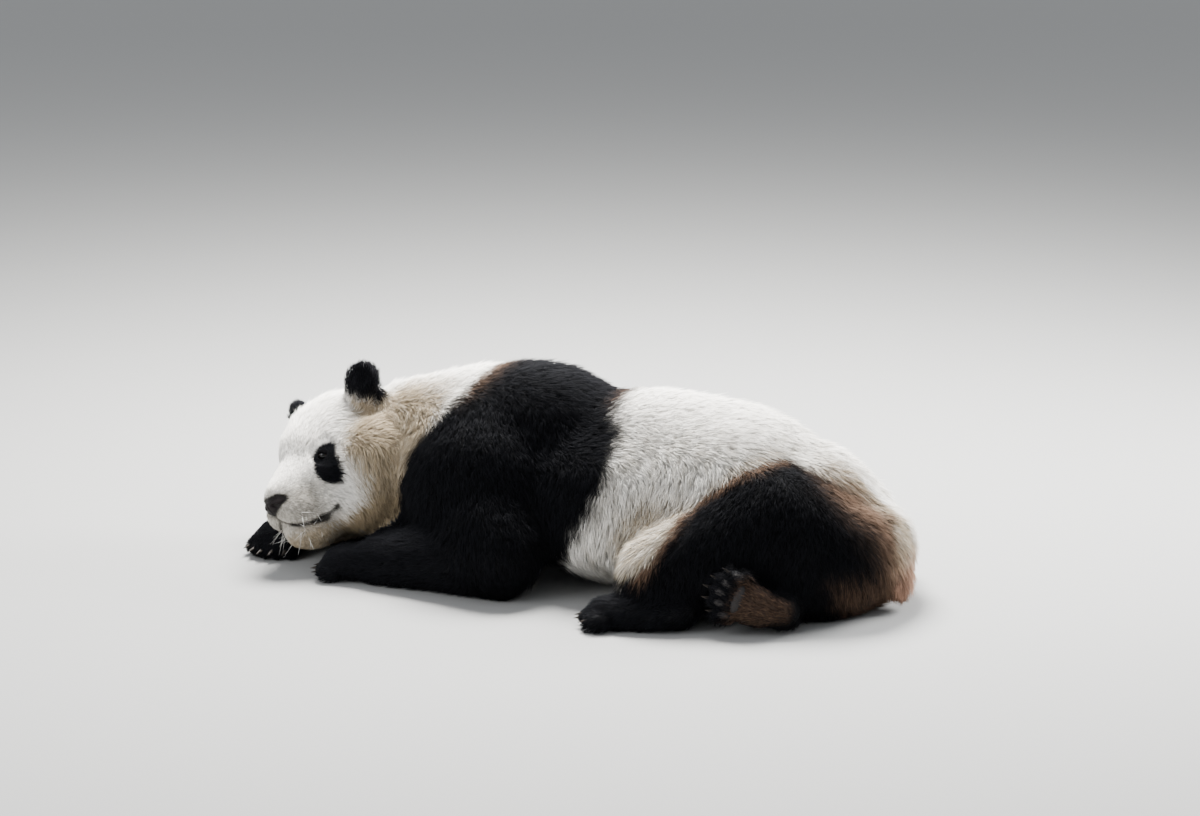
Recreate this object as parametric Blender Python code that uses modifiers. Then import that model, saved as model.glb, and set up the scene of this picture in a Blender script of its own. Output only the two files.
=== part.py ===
"""A resting giant panda as a still, life-size museum model, parted into named solids.

The row frame is metres, +Z up, with the floor at z = 0. The animal faces -Y and its left side is +X.
The body and the head are each melted from overlapping round forms, out to the tips of the coat.
Thin gaps then part them into head, neck, trunk, legs, paws, ears and tail. Eyes, nose and claws
are solids of their own, each set in a pocket.
"""

import math

import bmesh
import bpy
from mathutils import Euler, Matrix, Vector
from mathutils.bvhtree import BVHTree

# Driving dimensions, in metres and degrees.
GAP = 0.0004
SOCKET_GAP = 0.0024
BODY_VOXEL = 0.012
HEAD_VOXEL = 0.006
PAW_VOXEL = 0.006
FLOOR_SINK = 0.002
BODY_TRIANGLES = 2200
HEAD_TRIANGLES = 1100
HEAD_CENTRE = Vector((0.055, -0.622, 0.228))
HEAD_SCALE = 1.06
HEAD_YAW, HEAD_PITCH, HEAD_ROLL = 61.0, -3.0, 29.0
EYE_RADIUS = 0.0135
EYE_SPREAD, EYE_HEIGHT = 0.081, 0.009
EYE_DEPTH = 0.0195
CLAW_LENGTH = 0.034
CLAW_RADIUS = 0.0052

BLACK_COAT = ("black_coat", (0.020, 0.019, 0.021), 0.8)
WHITE_COAT = ("white_coat", (0.78, 0.74, 0.66), 0.8)
EYE_FINISH = ("eye", (0.015, 0.010, 0.008), 0.1)
NOSE_FINISH = ("nose_leather", (0.020, 0.018, 0.018), 0.45)
CLAW_FINISH = ("claw_horn", (0.10, 0.085, 0.07), 0.4)


def clear_scene():
    """Removes every object of the startup scene."""
    for found in list(bpy.data.objects):
        bpy.data.objects.remove(found, do_unlink=True)


def turned(x=0.0, y=0.0, z=0.0):
    """A rotation matrix from three angles in degrees."""
    return Euler([math.radians(t) for t in (x, y, z)]).to_matrix().to_4x4()


def head_matrix():
    """The head's frame: its x runs to the nose, y to the left ear and z to the crown."""
    turn = turned(z=HEAD_YAW - 90)
    nod = turned(y=-HEAD_PITCH)
    tip = turned(x=HEAD_ROLL)
    return Matrix.Translation(HEAD_CENTRE) @ turn @ nod @ tip @ Matrix.Scale(HEAD_SCALE, 4)


def frame_from(origin, forward, up):
    """A frame whose x runs forward and whose z leans to the given up direction."""
    x = Vector(forward).normalized()
    y = Vector(up).cross(x).normalized()
    z = x.cross(y)
    axes = Matrix((x, y, z)).transposed().to_4x4()
    return Matrix.Translation(origin) @ axes


# The four feet: wrist or heel place, toe direction, up direction, length and width.
LEFT_FOREPAW = frame_from((0.262, -0.445, 0.0), (-0.10, -1, 0), (0, 0, 1))
RIGHT_FOREPAW = frame_from((0.045, -0.742, 0.0), (1, -0.22, 0), (0, 0, 1))
LEFT_FOOT = frame_from((0.392, 0.335, 0.0), (0.06, -1, 0), (0, 0, 1))
RIGHT_FOOT = frame_from((0.372, 0.552, 0.056), (0.16, -0.89, 0.34), (-0.93, -0.28, -0.20))


class Flesh:
    """Gathers overlapping closed forms, to be melted into one mesh."""

    def __init__(self, frame=None, fine=True):
        self.whole = bmesh.new()
        self.frame = frame or Matrix.Identity(4)
        self.segments = 32 if fine else 10

    def add(self, form):
        """Takes a small mesh under construction into the whole and frees it."""
        step = bpy.data.meshes.new("step")
        form.to_mesh(step)
        form.free()
        self.whole.from_mesh(step)
        bpy.data.meshes.remove(step)

    def ball(self, centre, radii, turn=(0, 0, 0)):
        """Adds an ellipsoid with these half-sizes, turned by degrees about its own centre."""
        place = self.frame @ Matrix.Translation(centre) @ turned(*turn) @ Matrix.Diagonal((*radii, 1))
        form = bmesh.new()
        bmesh.ops.create_uvsphere(
            form, u_segments=self.segments, v_segments=self.segments * 5 // 8, radius=1, matrix=place
        )
        self.add(form)

    def pair(self, centre, radii, turn=(0, 0, 0)):
        """Adds a ball and its mirror image across the local y = 0 plane."""
        self.ball(centre, radii, turn)
        x, y, z = centre
        self.ball((x, -y, z), radii, (-turn[0], turn[1], -turn[2]))

    def limb(self, *stations):
        """Adds a tapered round bar between each (centre, radius) station and the next."""
        for (start, start_radius), (end, end_radius) in zip(stations, stations[1:]):
            form = bmesh.new()
            for centre, radius in ((start, start_radius), (end, end_radius)):
                place = self.frame @ Matrix.Translation(centre)
                bmesh.ops.create_icosphere(
                    form, subdivisions=3 if self.segments > 20 else 2, radius=radius, matrix=place
                )
            hull = bmesh.ops.convex_hull(form, input=form.verts)
            spare = [v for v in hull["geom_interior"] if isinstance(v, bmesh.types.BMVert)]
            bmesh.ops.delete(form, geom=spare, context="VERTS")
            bmesh.ops.recalc_face_normals(form, faces=form.faces)
            self.add(form)

    def box(self, centre, half, turn=(0, 0, 0)):
        """Adds a box with these half-sizes, turned by degrees about its own centre."""
        size = Matrix.Diagonal((*half, 1))
        place = self.frame @ Matrix.Translation(centre) @ turned(*turn) @ size
        form = bmesh.new()
        bmesh.ops.create_cube(form, size=2, matrix=place)
        self.add(form)

    def part(self, name):
        """The gathered forms as an object."""
        mesh = bpy.data.meshes.new(name)
        self.whole.to_mesh(mesh)
        self.whole.free()
        return as_object(name, mesh)


def head_flesh():
    f = Flesh(head_matrix())
    f.ball((-0.015, 0, 0.024), (0.150, 0.134, 0.130))
    f.ball((0.050, 0, 0.030), (0.092, 0.100, 0.092))
    f.pair((-0.010, 0.072, -0.045), (0.130, 0.115, 0.120))
    f.pair((0.040, 0.052, -0.080), (0.104, 0.078, 0.074))
    f.pair((0.058, 0.052, -0.040), (0.094, 0.070, 0.078))
    f.limb(((0.066, 0, -0.010), 0.086), ((0.182, 0, -0.052), 0.050))
    f.pair((0.148, 0.024, -0.080), (0.078, 0.042, 0.046))
    f.ball((0.126, 0.004, -0.132), (0.084, 0.062, 0.044))
    f.ball((0.016, 0.068, -0.108), (0.100, 0.092, 0.084))
    f.ball((-0.004, 0.116, -0.034), (0.100, 0.100, 0.098))
    f.ball((-0.090, 0, -0.020), (0.110, 0.140, 0.135))
    f.pair((-0.024, 0.135, 0.122), (0.031, 0.056, 0.058), (0, 0, 25))
    return f


def trunk_flesh(f):
    f.ball((0.0, -0.250, 0.235), (0.250, 0.260, 0.225))
    f.ball((-0.01, -0.160, 0.310), (0.185, 0.250, 0.180))
    f.ball((0.0, 0.160, 0.250), (0.200, 0.420, 0.198))
    f.ball((0.0, 0.080, 0.205), (0.268, 0.310, 0.207))
    f.ball((0.0, 0.140, 0.160), (0.280, 0.400, 0.162))
    f.ball((0.0, 0.290, 0.214), (0.258, 0.280, 0.218))
    f.ball((0.0, 0.450, 0.175), (0.245, 0.225, 0.190))
    f.ball((0.030, 0.600, 0.122), (0.215, 0.162, 0.130))
    f.ball((0.120, 0.600, 0.130), (0.140, 0.140, 0.135))
    f.limb(((0.0, -0.280, 0.300), 0.175), ((0.0, -0.470, 0.270), 0.152))


def foreleg_flesh(f):
    f.ball((0.165, -0.230, 0.210), (0.130, 0.180, 0.185), (20, 0, 0))
    f.ball((0.150, -0.380, 0.072), (0.105, 0.130, 0.078))
    f.limb(
        ((0.235, -0.180, 0.150), 0.115), ((0.270, -0.140, 0.108), 0.105),
        ((0.268, -0.320, 0.075), 0.073), ((0.262, -0.450, 0.055), 0.060),
    )
    f.ball((-0.165, -0.230, 0.210), (0.130, 0.180, 0.185), (20, 0, 0))
    f.limb(
        ((-0.235, -0.200, 0.150), 0.115), ((-0.265, -0.230, 0.105), 0.102),
        ((-0.150, -0.480, 0.078), 0.078), ((-0.040, -0.670, 0.066), 0.066),
        ((0.065, -0.745, 0.056), 0.058),
    )


def hindleg_flesh(f):
    f.ball((0.160, 0.480, 0.160), (0.145, 0.225, 0.175), (-22, 0, 0))
    f.limb(((0.180, 0.440, 0.170), 0.150), ((0.320, 0.250, 0.108), 0.095))
    f.limb(((0.325, 0.240, 0.100), 0.088), ((0.358, 0.320, 0.058), 0.056))
    f.limb(((0.372, 0.325, 0.050), 0.048), ((0.390, 0.260, 0.048), 0.050))
    f.ball((-0.150, 0.470, 0.145), (0.145, 0.225, 0.160), (-22, 0, 0))
    f.limb(((-0.160, 0.430, 0.150), 0.145), ((-0.270, 0.240, 0.105), 0.100))
    f.limb(((-0.240, 0.280, 0.070), 0.070), ((0.220, 0.530, 0.060), 0.058))
    f.limb(((0.230, 0.530, 0.056), 0.054), ((0.318, 0.545, 0.054), 0.048))


def toe_places(length, width):
    """The five toes' middles and splay angles across a foot."""
    for i in range(-2, 3):
        yield Vector((length - 0.006 * i * i, width * 0.21 * i, 0.025)), 7.0 * i


def paw_flesh(f, frame, length, width, height):
    """A broad pad with five toes, in the foot's own frame."""
    f.frame = frame
    f.ball((length * 0.44, 0, height / 2), (length * 0.52, width / 2, height / 2))
    f.ball((length * 0.66, 0, height * 0.42), (length * 0.30, width * 0.53, height * 0.42))
    for place, splay in toe_places(length - 0.022, width):
        f.ball(place, (0.032, width * 0.135, 0.024), (0, 8, splay))
    f.frame = Matrix.Identity(4)


FEET = {
    "left_fore": (LEFT_FOREPAW, 0.150, 0.118, 0.088),
    "right_fore": (RIGHT_FOREPAW, 0.150, 0.118, 0.090),
    "left_hind": (LEFT_FOOT, 0.225, 0.112, 0.086),
    "right_hind": (RIGHT_FOOT, 0.158, 0.104, 0.066),
}


def tail_flesh(f):
    f.limb(((0.020, 0.700, 0.180), 0.046), ((0.055, 0.738, 0.058), 0.042))


def as_object(name, mesh):
    made = bpy.data.objects.new(name, mesh)
    bpy.context.scene.collection.objects.link(made)
    return made


def settle(form):
    """Applies an object's modifiers to its mesh."""
    graph = bpy.context.evaluated_depsgraph_get()
    form.data = bpy.data.meshes.new_from_object(form.evaluated_get(graph))
    form.modifiers.clear()
    return form


def melted(form, voxel, rounds, triangles=None):
    """Makes one smooth closed form of all that the object holds, with about so many triangles."""
    remesh = form.modifiers.new("remesh", "REMESH")
    remesh.mode = "VOXEL"
    remesh.voxel_size = voxel
    smooth = form.modifiers.new("smooth", "SMOOTH")
    smooth.factor = 0.5
    smooth.iterations = rounds
    settle(form)
    if triangles:
        thin = form.modifiers.new("thin", "DECIMATE")
        thin.ratio = triangles / (2 * len(form.data.polygons))
        settle(form)
    return form


def cut(form, tool, operation):
    """Cuts the form with the tool in place."""
    step = form.modifiers.new("cut", "BOOLEAN")
    step.operation = operation
    step.solver = "EXACT"
    step.object = tool
    return settle(form)


def swollen(form, by=GAP):
    """A copy of the form, grown outward by this much."""
    grown = as_object("swollen", form.data.copy())
    push = grown.modifiers.new("push", "DISPLACE")
    push.strength = by
    push.mid_level = 0.0
    return settle(grown)


def discard(*forms):
    for form in forms:
        bpy.data.objects.remove(form, do_unlink=True)


def pocket(form, insert, by=GAP):
    """Clears room in the form for the insert, and leaves the insert as it is."""
    room = swollen(insert, by)
    cut(form, room, "DIFFERENCE")
    discard(room)


def trimmed(form, neighbour, by=2 * GAP):
    """Cuts the form back to just outside its neighbour."""
    solid = swollen(neighbour, by)
    cut(form, solid, "DIFFERENCE")
    discard(solid)


def split_off(name, source, draw):
    """Moves what lies inside a drawn region from the source into a new object."""
    inner, outer = Flesh(fine=False), Flesh(fine=False)
    draw(inner, 0.0)
    draw(outer, GAP)
    keep, clear = inner.part("keep"), outer.part("clear")
    taken = as_object(name, source.data.copy())
    cut(taken, keep, "INTERSECT")
    cut(source, clear, "DIFFERENCE")
    discard(keep, clear)
    return taken


def round_region(centre, radii, turn=(0, 0, 0), frame=None):
    def draw(f, grow):
        f.frame = frame or Matrix.Identity(4)
        f.ball(centre, [r + grow for r in radii], turn)
    return draw


def box_region(centre, half, turn=(0, 0, 0), frame=None):
    def draw(f, grow):
        f.frame = frame or Matrix.Identity(4)
        f.box(centre, [h + grow for h in half], turn)
    return draw


BODY_REGIONS = {
    "left_forepaw": box_region((0.09, 0, 0.05), (0.095, 0.085, 0.075), frame=LEFT_FOREPAW),
    "right_forepaw": box_region((0.09, 0, 0.05), (0.095, 0.085, 0.075), frame=RIGHT_FOREPAW),
    "left_foot": box_region((0.14, 0, 0.04), (0.11, 0.075, 0.062), frame=LEFT_FOOT),
    "right_foot": box_region((0.10, 0, 0.020), (0.10, 0.080, 0.045), frame=RIGHT_FOOT),
    "neck": box_region((0, -0.590, 0.350), (0.24, 0.230, 0.185), (-24, 0, 0)),
    "left_forearm": box_region((0.275, -0.355, 0.050), (0.105, 0.115, 0.100)),
    "right_forearm": box_region((-0.095, -0.600, 0.050), (0.290, 0.125, 0.100), (0, 0, -56)),
    "left_upper_arm": round_region((0.245, -0.170, 0.150), (0.145, 0.190, 0.215), (12, 0, 0)),
    "right_upper_arm": round_region((-0.245, -0.235, 0.140), (0.160, 0.210, 0.215), (12, 0, 0)),
    "right_shank": box_region((0.225, 0.540, 0.040), (0.160, 0.090, 0.070)),
    "left_shank": box_region((0.380, 0.300, 0.020), (0.090, 0.110, 0.085)),
    "left_thigh": round_region((0.240, 0.360, 0.150), (0.195, 0.285, 0.210), (-12, 0, 35)),
    "right_thigh": round_region((-0.235, 0.365, 0.140), (0.185, 0.280, 0.195), (-12, 0, -35)),
    "tail": round_region((0.035, 0.770, 0.130), (0.080, 0.090, 0.140)),
    "rump": box_region((0, 0.700, 0.250), (0.50, 0.320, 0.400), (-8, 0, 0)),
    "belly": box_region((0, 0.180, 0.250), (0.50, 0.220, 0.400), (-8, 0, 0)),
}

BLACK_PARTS = ("chest", "ear", "forepaw", "foot", "arm", "shank", "thigh", "forearm")


def claw(frame, place, splay, droop):
    """A curved horn claw rooted in a toe, as a ring pushed out along an arc and drawn to a point."""
    form = bmesh.new()
    start = frame @ Matrix.Translation(place) @ turned(0, droop, splay) @ turned(0, 90, 0)
    bmesh.ops.create_circle(form, cap_ends=True, segments=5, radius=CLAW_RADIUS)
    tip = list(form.faces)
    steps = 3
    for i in range(steps):
        pushed = bmesh.ops.extrude_face_region(form, geom=tip)["geom"]
        bmesh.ops.delete(form, geom=tip, context="FACES_ONLY") if i else None
        ring = [v for v in pushed if isinstance(v, bmesh.types.BMVert)]
        tip = [p for p in pushed if isinstance(p, bmesh.types.BMFace)]
        middle = sum((v.co for v in ring), Vector()) / len(ring)
        shrink = (1 - 0.88 * ((i + 1) / steps) ** 1.5) / (1 - 0.88 * (i / steps) ** 1.5)
        step = (
            Matrix.Translation(middle) @ turned(0, 15, 0)
            @ Matrix.Translation((0, 0, CLAW_LENGTH / steps)) @ Matrix.Scale(shrink, 4)
            @ Matrix.Translation(-middle)
        )
        bmesh.ops.transform(form, matrix=step, verts=ring)
    bmesh.ops.recalc_face_normals(form, faces=form.faces)
    bmesh.ops.transform(form, matrix=start, verts=form.verts)
    mesh = bpy.data.meshes.new("claw")
    form.to_mesh(mesh)
    form.free()
    return as_object("claw", mesh)


def joined(name, *forms):
    """One object that holds the meshes of all these, which go."""
    both = Flesh()
    for form in forms:
        both.whole.from_mesh(form.data)
    discard(*forms)
    return both.part(name)


def surface_along(form, frame, y, z):
    """Where a line that comes from ahead of the face, at this y and z of the frame, meets the form."""
    tree = BVHTree.FromPolygons(
        [v.co.copy() for v in form.data.vertices], [tuple(p.vertices) for p in form.data.polygons]
    )
    start = frame @ Vector((0.4, y, z))
    heading = (frame @ Vector((0, y, z)) - start).normalized()
    return frame.inverted() @ tree.ray_cast(start, heading)[0]


def build_eye(head, side):
    """An eyeball behind the lids, and the open well in the head that shows it."""
    frame = head_matrix()
    surface = surface_along(head, frame, side * EYE_SPREAD, EYE_HEIGHT)
    radius = EYE_RADIUS / HEAD_SCALE
    centre = surface - Vector((EYE_DEPTH, side * 0.004, 0))
    ball = Flesh(frame, fine=False)
    ball.ball(centre, (radius, radius, radius))
    eye = ball.part("eye_left" if side > 0 else "eye_right")
    well = Flesh(frame, fine=False)
    outside = centre + Vector((0.040, side * 0.018, 0))
    well.limb((centre, radius * 1.05 + GAP), (outside, radius * 1.35))
    opening = well.part("well")
    cut(head, opening, "DIFFERENCE")
    discard(opening)
    return eye


def build_nose(head):
    """The bare nose pad: a wide rounded block at the muzzle's end."""
    pad = Flesh(head_matrix(), fine=False)
    pad.ball((0.210, 0, -0.050), (0.027, 0.040, 0.025), (0, 12, 0))
    pad.ball((0.215, 0, -0.067), (0.021, 0.019, 0.018))
    nose = melted(pad.part("nose"), 0.0035, 4, 160)
    trimmed(nose, head)
    return nose


def finish_node(form, name, finish, group):
    """Names a solid, gives it its own material and puts it in the panda's collection."""
    label, colour, roughness = finish
    form.name = form.data.name = name
    material = bpy.data.materials.new(f"{name}_{label}")
    material.use_nodes = True
    shader = material.node_tree.nodes["Principled BSDF"]
    shader.inputs["Base Color"].default_value = (*colour, 1)
    shader.inputs["Roughness"].default_value = roughness
    form.data.materials.clear()
    form.data.materials.append(material)
    for home in list(form.users_collection):
        home.objects.unlink(form)
    group.objects.link(form)


def is_black(name):
    return any(word in name for word in BLACK_PARTS)


def melt_body():
    """The body, with its paws melted at a finer grain than the trunk."""
    flesh = Flesh()
    trunk_flesh(flesh)
    foreleg_flesh(flesh)
    hindleg_flesh(flesh)
    tail_flesh(flesh)
    trunk = melted(flesh.part("trunk"), BODY_VOXEL, 10)
    pads = Flesh()
    for frame, length, width, height in FEET.values():
        paw_flesh(pads, frame, length, width, height)
    paws = melted(pads.part("paws"), PAW_VOXEL, 3)
    body = melted(joined("body", trunk, paws), BODY_VOXEL * 0.6, 3, BODY_TRIANGLES)
    below = Flesh(fine=False)
    below.box((0, 0, -0.5 + FLOOR_SINK), (2, 2, 0.5))
    floor = below.part("floor")
    cut(body, floor, "DIFFERENCE")
    discard(floor)
    return body


def main():
    clear_scene()
    panda = bpy.data.collections.new("giant_panda")
    bpy.context.scene.collection.children.link(panda)

    body = melt_body()
    head = melted(head_flesh().part("head"), HEAD_VOXEL, 18, HEAD_TRIANGLES)
    pocket(body, head, SOCKET_GAP)

    parts = {}
    for name, draw in BODY_REGIONS.items():
        parts[name] = split_off(name, body, draw)
    parts["chest"] = body
    for side, name in ((1, "ear_left"), (-1, "ear_right")):
        place = (-0.028, side * 0.149, 0.139)
        region = round_region(place, (0.062, 0.062, 0.058), frame=head_matrix())
        parts[name] = split_off(name, head, region)
    parts["eye_left"] = build_eye(head, 1)
    parts["eye_right"] = build_eye(head, -1)
    parts["nose"] = build_nose(head)
    parts["head"] = head

    paws = {"left_fore": "left_forepaw", "right_fore": "right_forepaw",
            "left_hind": "left_foot", "right_hind": "right_foot"}
    for side, (frame, length, width, height) in FEET.items():
        for i, (place, splay) in enumerate(toe_places(length - 0.002, width)):
            name = f"{side}_claw_{i + 1}"
            parts[name] = claw(frame, place + Vector((0, 0, 0.004)), splay, 6)
            trimmed(parts[name], parts[paws[side]])

    for name, form in parts.items():
        if "claw" in name:
            finish = CLAW_FINISH
        elif "eye" in name:
            finish = EYE_FINISH
        elif name == "nose":
            finish = NOSE_FINISH
        else:
            finish = BLACK_COAT if is_black(name) else WHITE_COAT
        finish_node(form, name, finish, panda)

    low = [min(v.co[i] for form in parts.values() for v in form.data.vertices) for i in range(3)]
    high = [max(v.co[i] for form in parts.values() for v in form.data.vertices) for i in range(3)]
    centring = Vector((-(low[0] + high[0]) / 2, -(low[1] + high[1]) / 2, -low[2]))
    for form in parts.values():
        form.data.transform(Matrix.Translation(centring))


main()
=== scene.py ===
"""Dresses the resting giant panda, life size.

One smooth skin takes the place of all the flesh. A coat of solid, bent tufts is combed over it,
and carries the same black, white and stained markings as the skin. Eyes with lids, the nose
leather, claws, sole pads and whiskers are pieces of their own. The floor is z = 0, the animal
faces -Y, and its left side is +X.
"""

import logging
import math
from dataclasses import dataclass, field
from enum import Enum

import bmesh
import bpy
import numpy as np
from mathutils import Euler, Matrix, Vector
from mathutils.bvhtree import BVHTree
from mathutils.kdtree import KDTree


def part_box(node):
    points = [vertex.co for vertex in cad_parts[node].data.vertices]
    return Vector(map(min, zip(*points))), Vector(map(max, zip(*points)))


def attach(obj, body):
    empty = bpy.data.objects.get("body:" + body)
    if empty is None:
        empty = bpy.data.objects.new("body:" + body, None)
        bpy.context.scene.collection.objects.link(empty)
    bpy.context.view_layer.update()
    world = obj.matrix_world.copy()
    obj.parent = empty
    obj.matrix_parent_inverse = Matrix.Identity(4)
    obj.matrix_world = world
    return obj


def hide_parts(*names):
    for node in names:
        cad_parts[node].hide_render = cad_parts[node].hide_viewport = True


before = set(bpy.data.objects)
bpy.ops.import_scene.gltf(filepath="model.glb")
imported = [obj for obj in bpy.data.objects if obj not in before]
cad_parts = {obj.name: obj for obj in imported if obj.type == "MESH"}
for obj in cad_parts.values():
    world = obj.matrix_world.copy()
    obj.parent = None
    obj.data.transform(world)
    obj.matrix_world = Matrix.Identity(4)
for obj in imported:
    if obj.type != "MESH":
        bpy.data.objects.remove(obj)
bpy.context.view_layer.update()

LOG = logging.getLogger("panda")
SEED = 20
BODY = "root"
Colour = tuple[float, float, float]
Place = tuple[float, float, float]


# ---------------------------------------------------------------- helpers


def smoothstep(low: float, high: float, value: np.ndarray) -> np.ndarray:
    """Eases from 0 at low to 1 at high.

    Args:
        low: where the ramp starts.
        high: where the ramp ends, which may be below low for a falling ramp.
        value: the numbers to ramp.

    Returns:
        The eased numbers, from 0 to 1.
    """
    t = np.clip((value - low) / (high - low), 0.0, 1.0)
    return t * t * (3.0 - 2.0 * t)


def hump(value: np.ndarray, middle: float, width: float) -> np.ndarray:
    """A smooth bell, 1 at its middle.

    Args:
        value: the numbers to read it at.
        middle: where it is highest.
        width: how far out it falls to about a third.

    Returns:
        The bell's height at each number.
    """
    return np.exp(-(((value - middle) / width) ** 2))


@dataclass(frozen=True)
class Ramp:
    """An eased step from 0 at its start to 1 at its end, which may be the lower of the two."""

    start: float
    end: float

    def __call__(self, value: np.ndarray) -> np.ndarray:
        """The step's height at these numbers."""
        return smoothstep(self.start, self.end, value)


def unit(rows: np.ndarray) -> np.ndarray:
    """Scales each row to length one."""
    return rows / np.maximum(np.linalg.norm(rows, axis=1), 1e-9)[:, None]


def turned(x: float = 0.0, y: float = 0.0, z: float = 0.0) -> Matrix:
    """A rotation matrix from three angles in degrees."""
    return Euler([math.radians(t) for t in (x, y, z)]).to_matrix().to_4x4()


def moved(matrix: Matrix, points: np.ndarray) -> np.ndarray:
    """Moves rows of places by a matrix."""
    rows = np.array(matrix)
    return points @ rows[:3, :3].T + rows[:3, 3]


def as_object(name: str, data: bpy.types.ID) -> bpy.types.Object:
    """Links a mesh, a lamp or a camera into the scene as an object.

    Args:
        name: the object's name.
        data: its mesh, lamp or camera.

    Returns:
        The new object.
    """
    made = bpy.data.objects.new(name, data)
    bpy.context.scene.collection.objects.link(made)
    return made


def from_bmesh(name: str, form: bmesh.types.BMesh, smooth: bool = True) -> bpy.types.Object:
    """Turns a bmesh into a linked object and frees it.

    Args:
        name: the object's name.
        form: the bmesh, used up by this.
        smooth: whether its faces are shaded smooth.

    Returns:
        The new object.
    """
    mesh = bpy.data.meshes.new(name)
    form.to_mesh(mesh)
    form.free()
    shade(mesh, smooth)
    return as_object(name, mesh)


def shade(mesh: bpy.types.Mesh, smooth: bool = True) -> None:
    """Shades all of a mesh's faces smooth, or flat."""
    mesh.polygons.foreach_set("use_smooth", [smooth] * len(mesh.polygons))


def join(whole: bmesh.types.BMesh, form: bmesh.types.BMesh) -> None:
    """Adds a bmesh to a larger one and frees it.

    Args:
        whole: the larger one.
        form: the bmesh to add, used up by this.
    """
    step = bpy.data.meshes.new("step")
    form.to_mesh(step)
    form.free()
    whole.from_mesh(step)
    bpy.data.meshes.remove(step)


def add_ball(
    form: bmesh.types.BMesh, segments: tuple[int, int], matrix: Matrix, radius: float = 1.0
) -> None:
    """Adds a sphere to a bmesh.

    Args:
        form: the bmesh.
        segments: how many faces it has round, and from pole to pole.
        matrix: its place, turn and stretch.
        radius: its size before the matrix.
    """
    bmesh.ops.create_uvsphere(
        form, u_segments=segments[0], v_segments=segments[1], radius=radius, matrix=matrix
    )


def soften_with(form: bpy.types.Object, rounds: int, group: str = "") -> None:
    """Adds a smoothing modifier.

    Args:
        form: the object.
        rounds: how often it smooths.
        group: the vertices that it moves, or all of them.
    """
    soft = form.modifiers.new("soft", "SMOOTH")
    soft.factor = 0.5
    soft.iterations = rounds
    soft.vertex_group = group


def settled(form: bpy.types.Object) -> bpy.types.Object:
    """Applies an object's modifiers to its mesh.

    Args:
        form: the object.

    Returns:
        The same object, with a plain mesh.
    """
    graph = bpy.context.evaluated_depsgraph_get()
    form.data = bpy.data.meshes.new_from_object(form.evaluated_get(graph))
    form.modifiers.clear()
    return form


def places_of(mesh: bpy.types.Mesh) -> np.ndarray:
    """The vertices' places as rows."""
    return rows_of(mesh.vertices, "co")


def normals_of(mesh: bpy.types.Mesh) -> np.ndarray:
    """The vertices' normals as rows."""
    return rows_of(mesh.vertex_normals, "vector")


def rows_of(items: bpy.types.bpy_prop_collection, name: str) -> np.ndarray:
    """One value of each item, such as its place, as rows of three.

    Args:
        items: a mesh's vertices or normals.
        name: the value's name.

    Returns:
        A row for each item.
    """
    rows = np.empty(len(items) * 3, np.float32)
    items.foreach_get(name, rows)
    return rows.reshape(-1, 3).astype(np.float64)


def put_places(mesh: bpy.types.Mesh, rows: np.ndarray) -> None:
    """Writes the vertices' places back."""
    mesh.vertices.foreach_set("co", rows.astype(np.float32).ravel())
    mesh.update()


def put_mask(mesh: bpy.types.Mesh, name: str, values: np.ndarray) -> None:
    """Stores one number per vertex under a name that a material reads."""
    layer = mesh.attributes.new(name, "FLOAT", "POINT")
    layer.data.foreach_set("value", values.astype(np.float32))


def distance_to_line(points: np.ndarray, start: Place, end: Place) -> np.ndarray:
    """How far points are from a straight line piece.

    Args:
        points: places as rows.
        start: one end of the line.
        end: its other end.

    Returns:
        The distances.
    """
    a, b = np.array(start), np.array(end)
    along = np.clip((points - a) @ (b - a) / max((b - a) @ (b - a), 1e-9), 0.0, 1.0)
    return np.linalg.norm(points - (a + along[:, None] * (b - a)), axis=1)


# ---------------------------------------------------------------- frames of head and feet


@dataclass(frozen=True)
class HeadFrame:
    """The head's own frame: x runs to the nose, y to the left ear, z to the crown."""

    centre: Place = (0.00465, -0.59324, 0.226)
    scale: float = 1.06
    yaw: float = 61.0
    pitch: float = -3.0
    roll: float = 29.0

    def matrix(self) -> Matrix:
        """The frame's matrix in the model's space."""
        turn = turned(z=self.yaw - 90) @ turned(y=-self.pitch) @ turned(x=self.roll)
        return Matrix.Translation(self.centre) @ turn @ Matrix.Scale(self.scale, 4)

    def local(self, points: np.ndarray) -> np.ndarray:
        """Brings rows of places into the head's frame."""
        return moved(self.matrix().inverted(), points)

    def world(self, points: np.ndarray) -> np.ndarray:
        """Brings rows of head places out into the model's space."""
        return moved(self.matrix(), points)

    def place(self, point: Place) -> Vector:
        """Brings one head place out into the model's space."""
        return self.matrix() @ Vector(point)


@dataclass(frozen=True)
class FootFrame:
    """A foot's own frame, with its origin at wrist or heel.

    x runs to the toes and z away from the sole. The toes stand toe_step of the foot's width apart.
    """

    name: str
    origin: Place
    forward: Place
    up: Place
    length: float
    width: float
    toe_arc: float = 0.006
    toe_step: float = 0.21
    toe_height: float = 0.025
    toe_splay: float = 7.0

    def matrix(self) -> Matrix:
        """The frame's matrix in the model's space.

        Returns:
            A matrix from the foot's frame to the model's space.
        """
        x = Vector(self.forward).normalized()
        y = Vector(self.up).cross(x).normalized()
        axes = Matrix((x, y, x.cross(y))).transposed().to_4x4()
        return Matrix.Translation(self.origin) @ axes

    def toes(self, length: float) -> list[tuple[Vector, float]]:
        """Each toe's middle and splay angle, for toes that end at this length.

        Args:
            length: how far ahead the middle toe ends.

        Returns:
            Each toe's middle in the foot's frame, and its splay angle in degrees.
        """
        toes = []
        for i in range(-2, 3):
            ahead, aside = length - self.toe_arc * i * i, self.width * self.toe_step * i
            toes.append((Vector((ahead, aside, self.toe_height)), self.toe_splay * i))
        return toes


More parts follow.
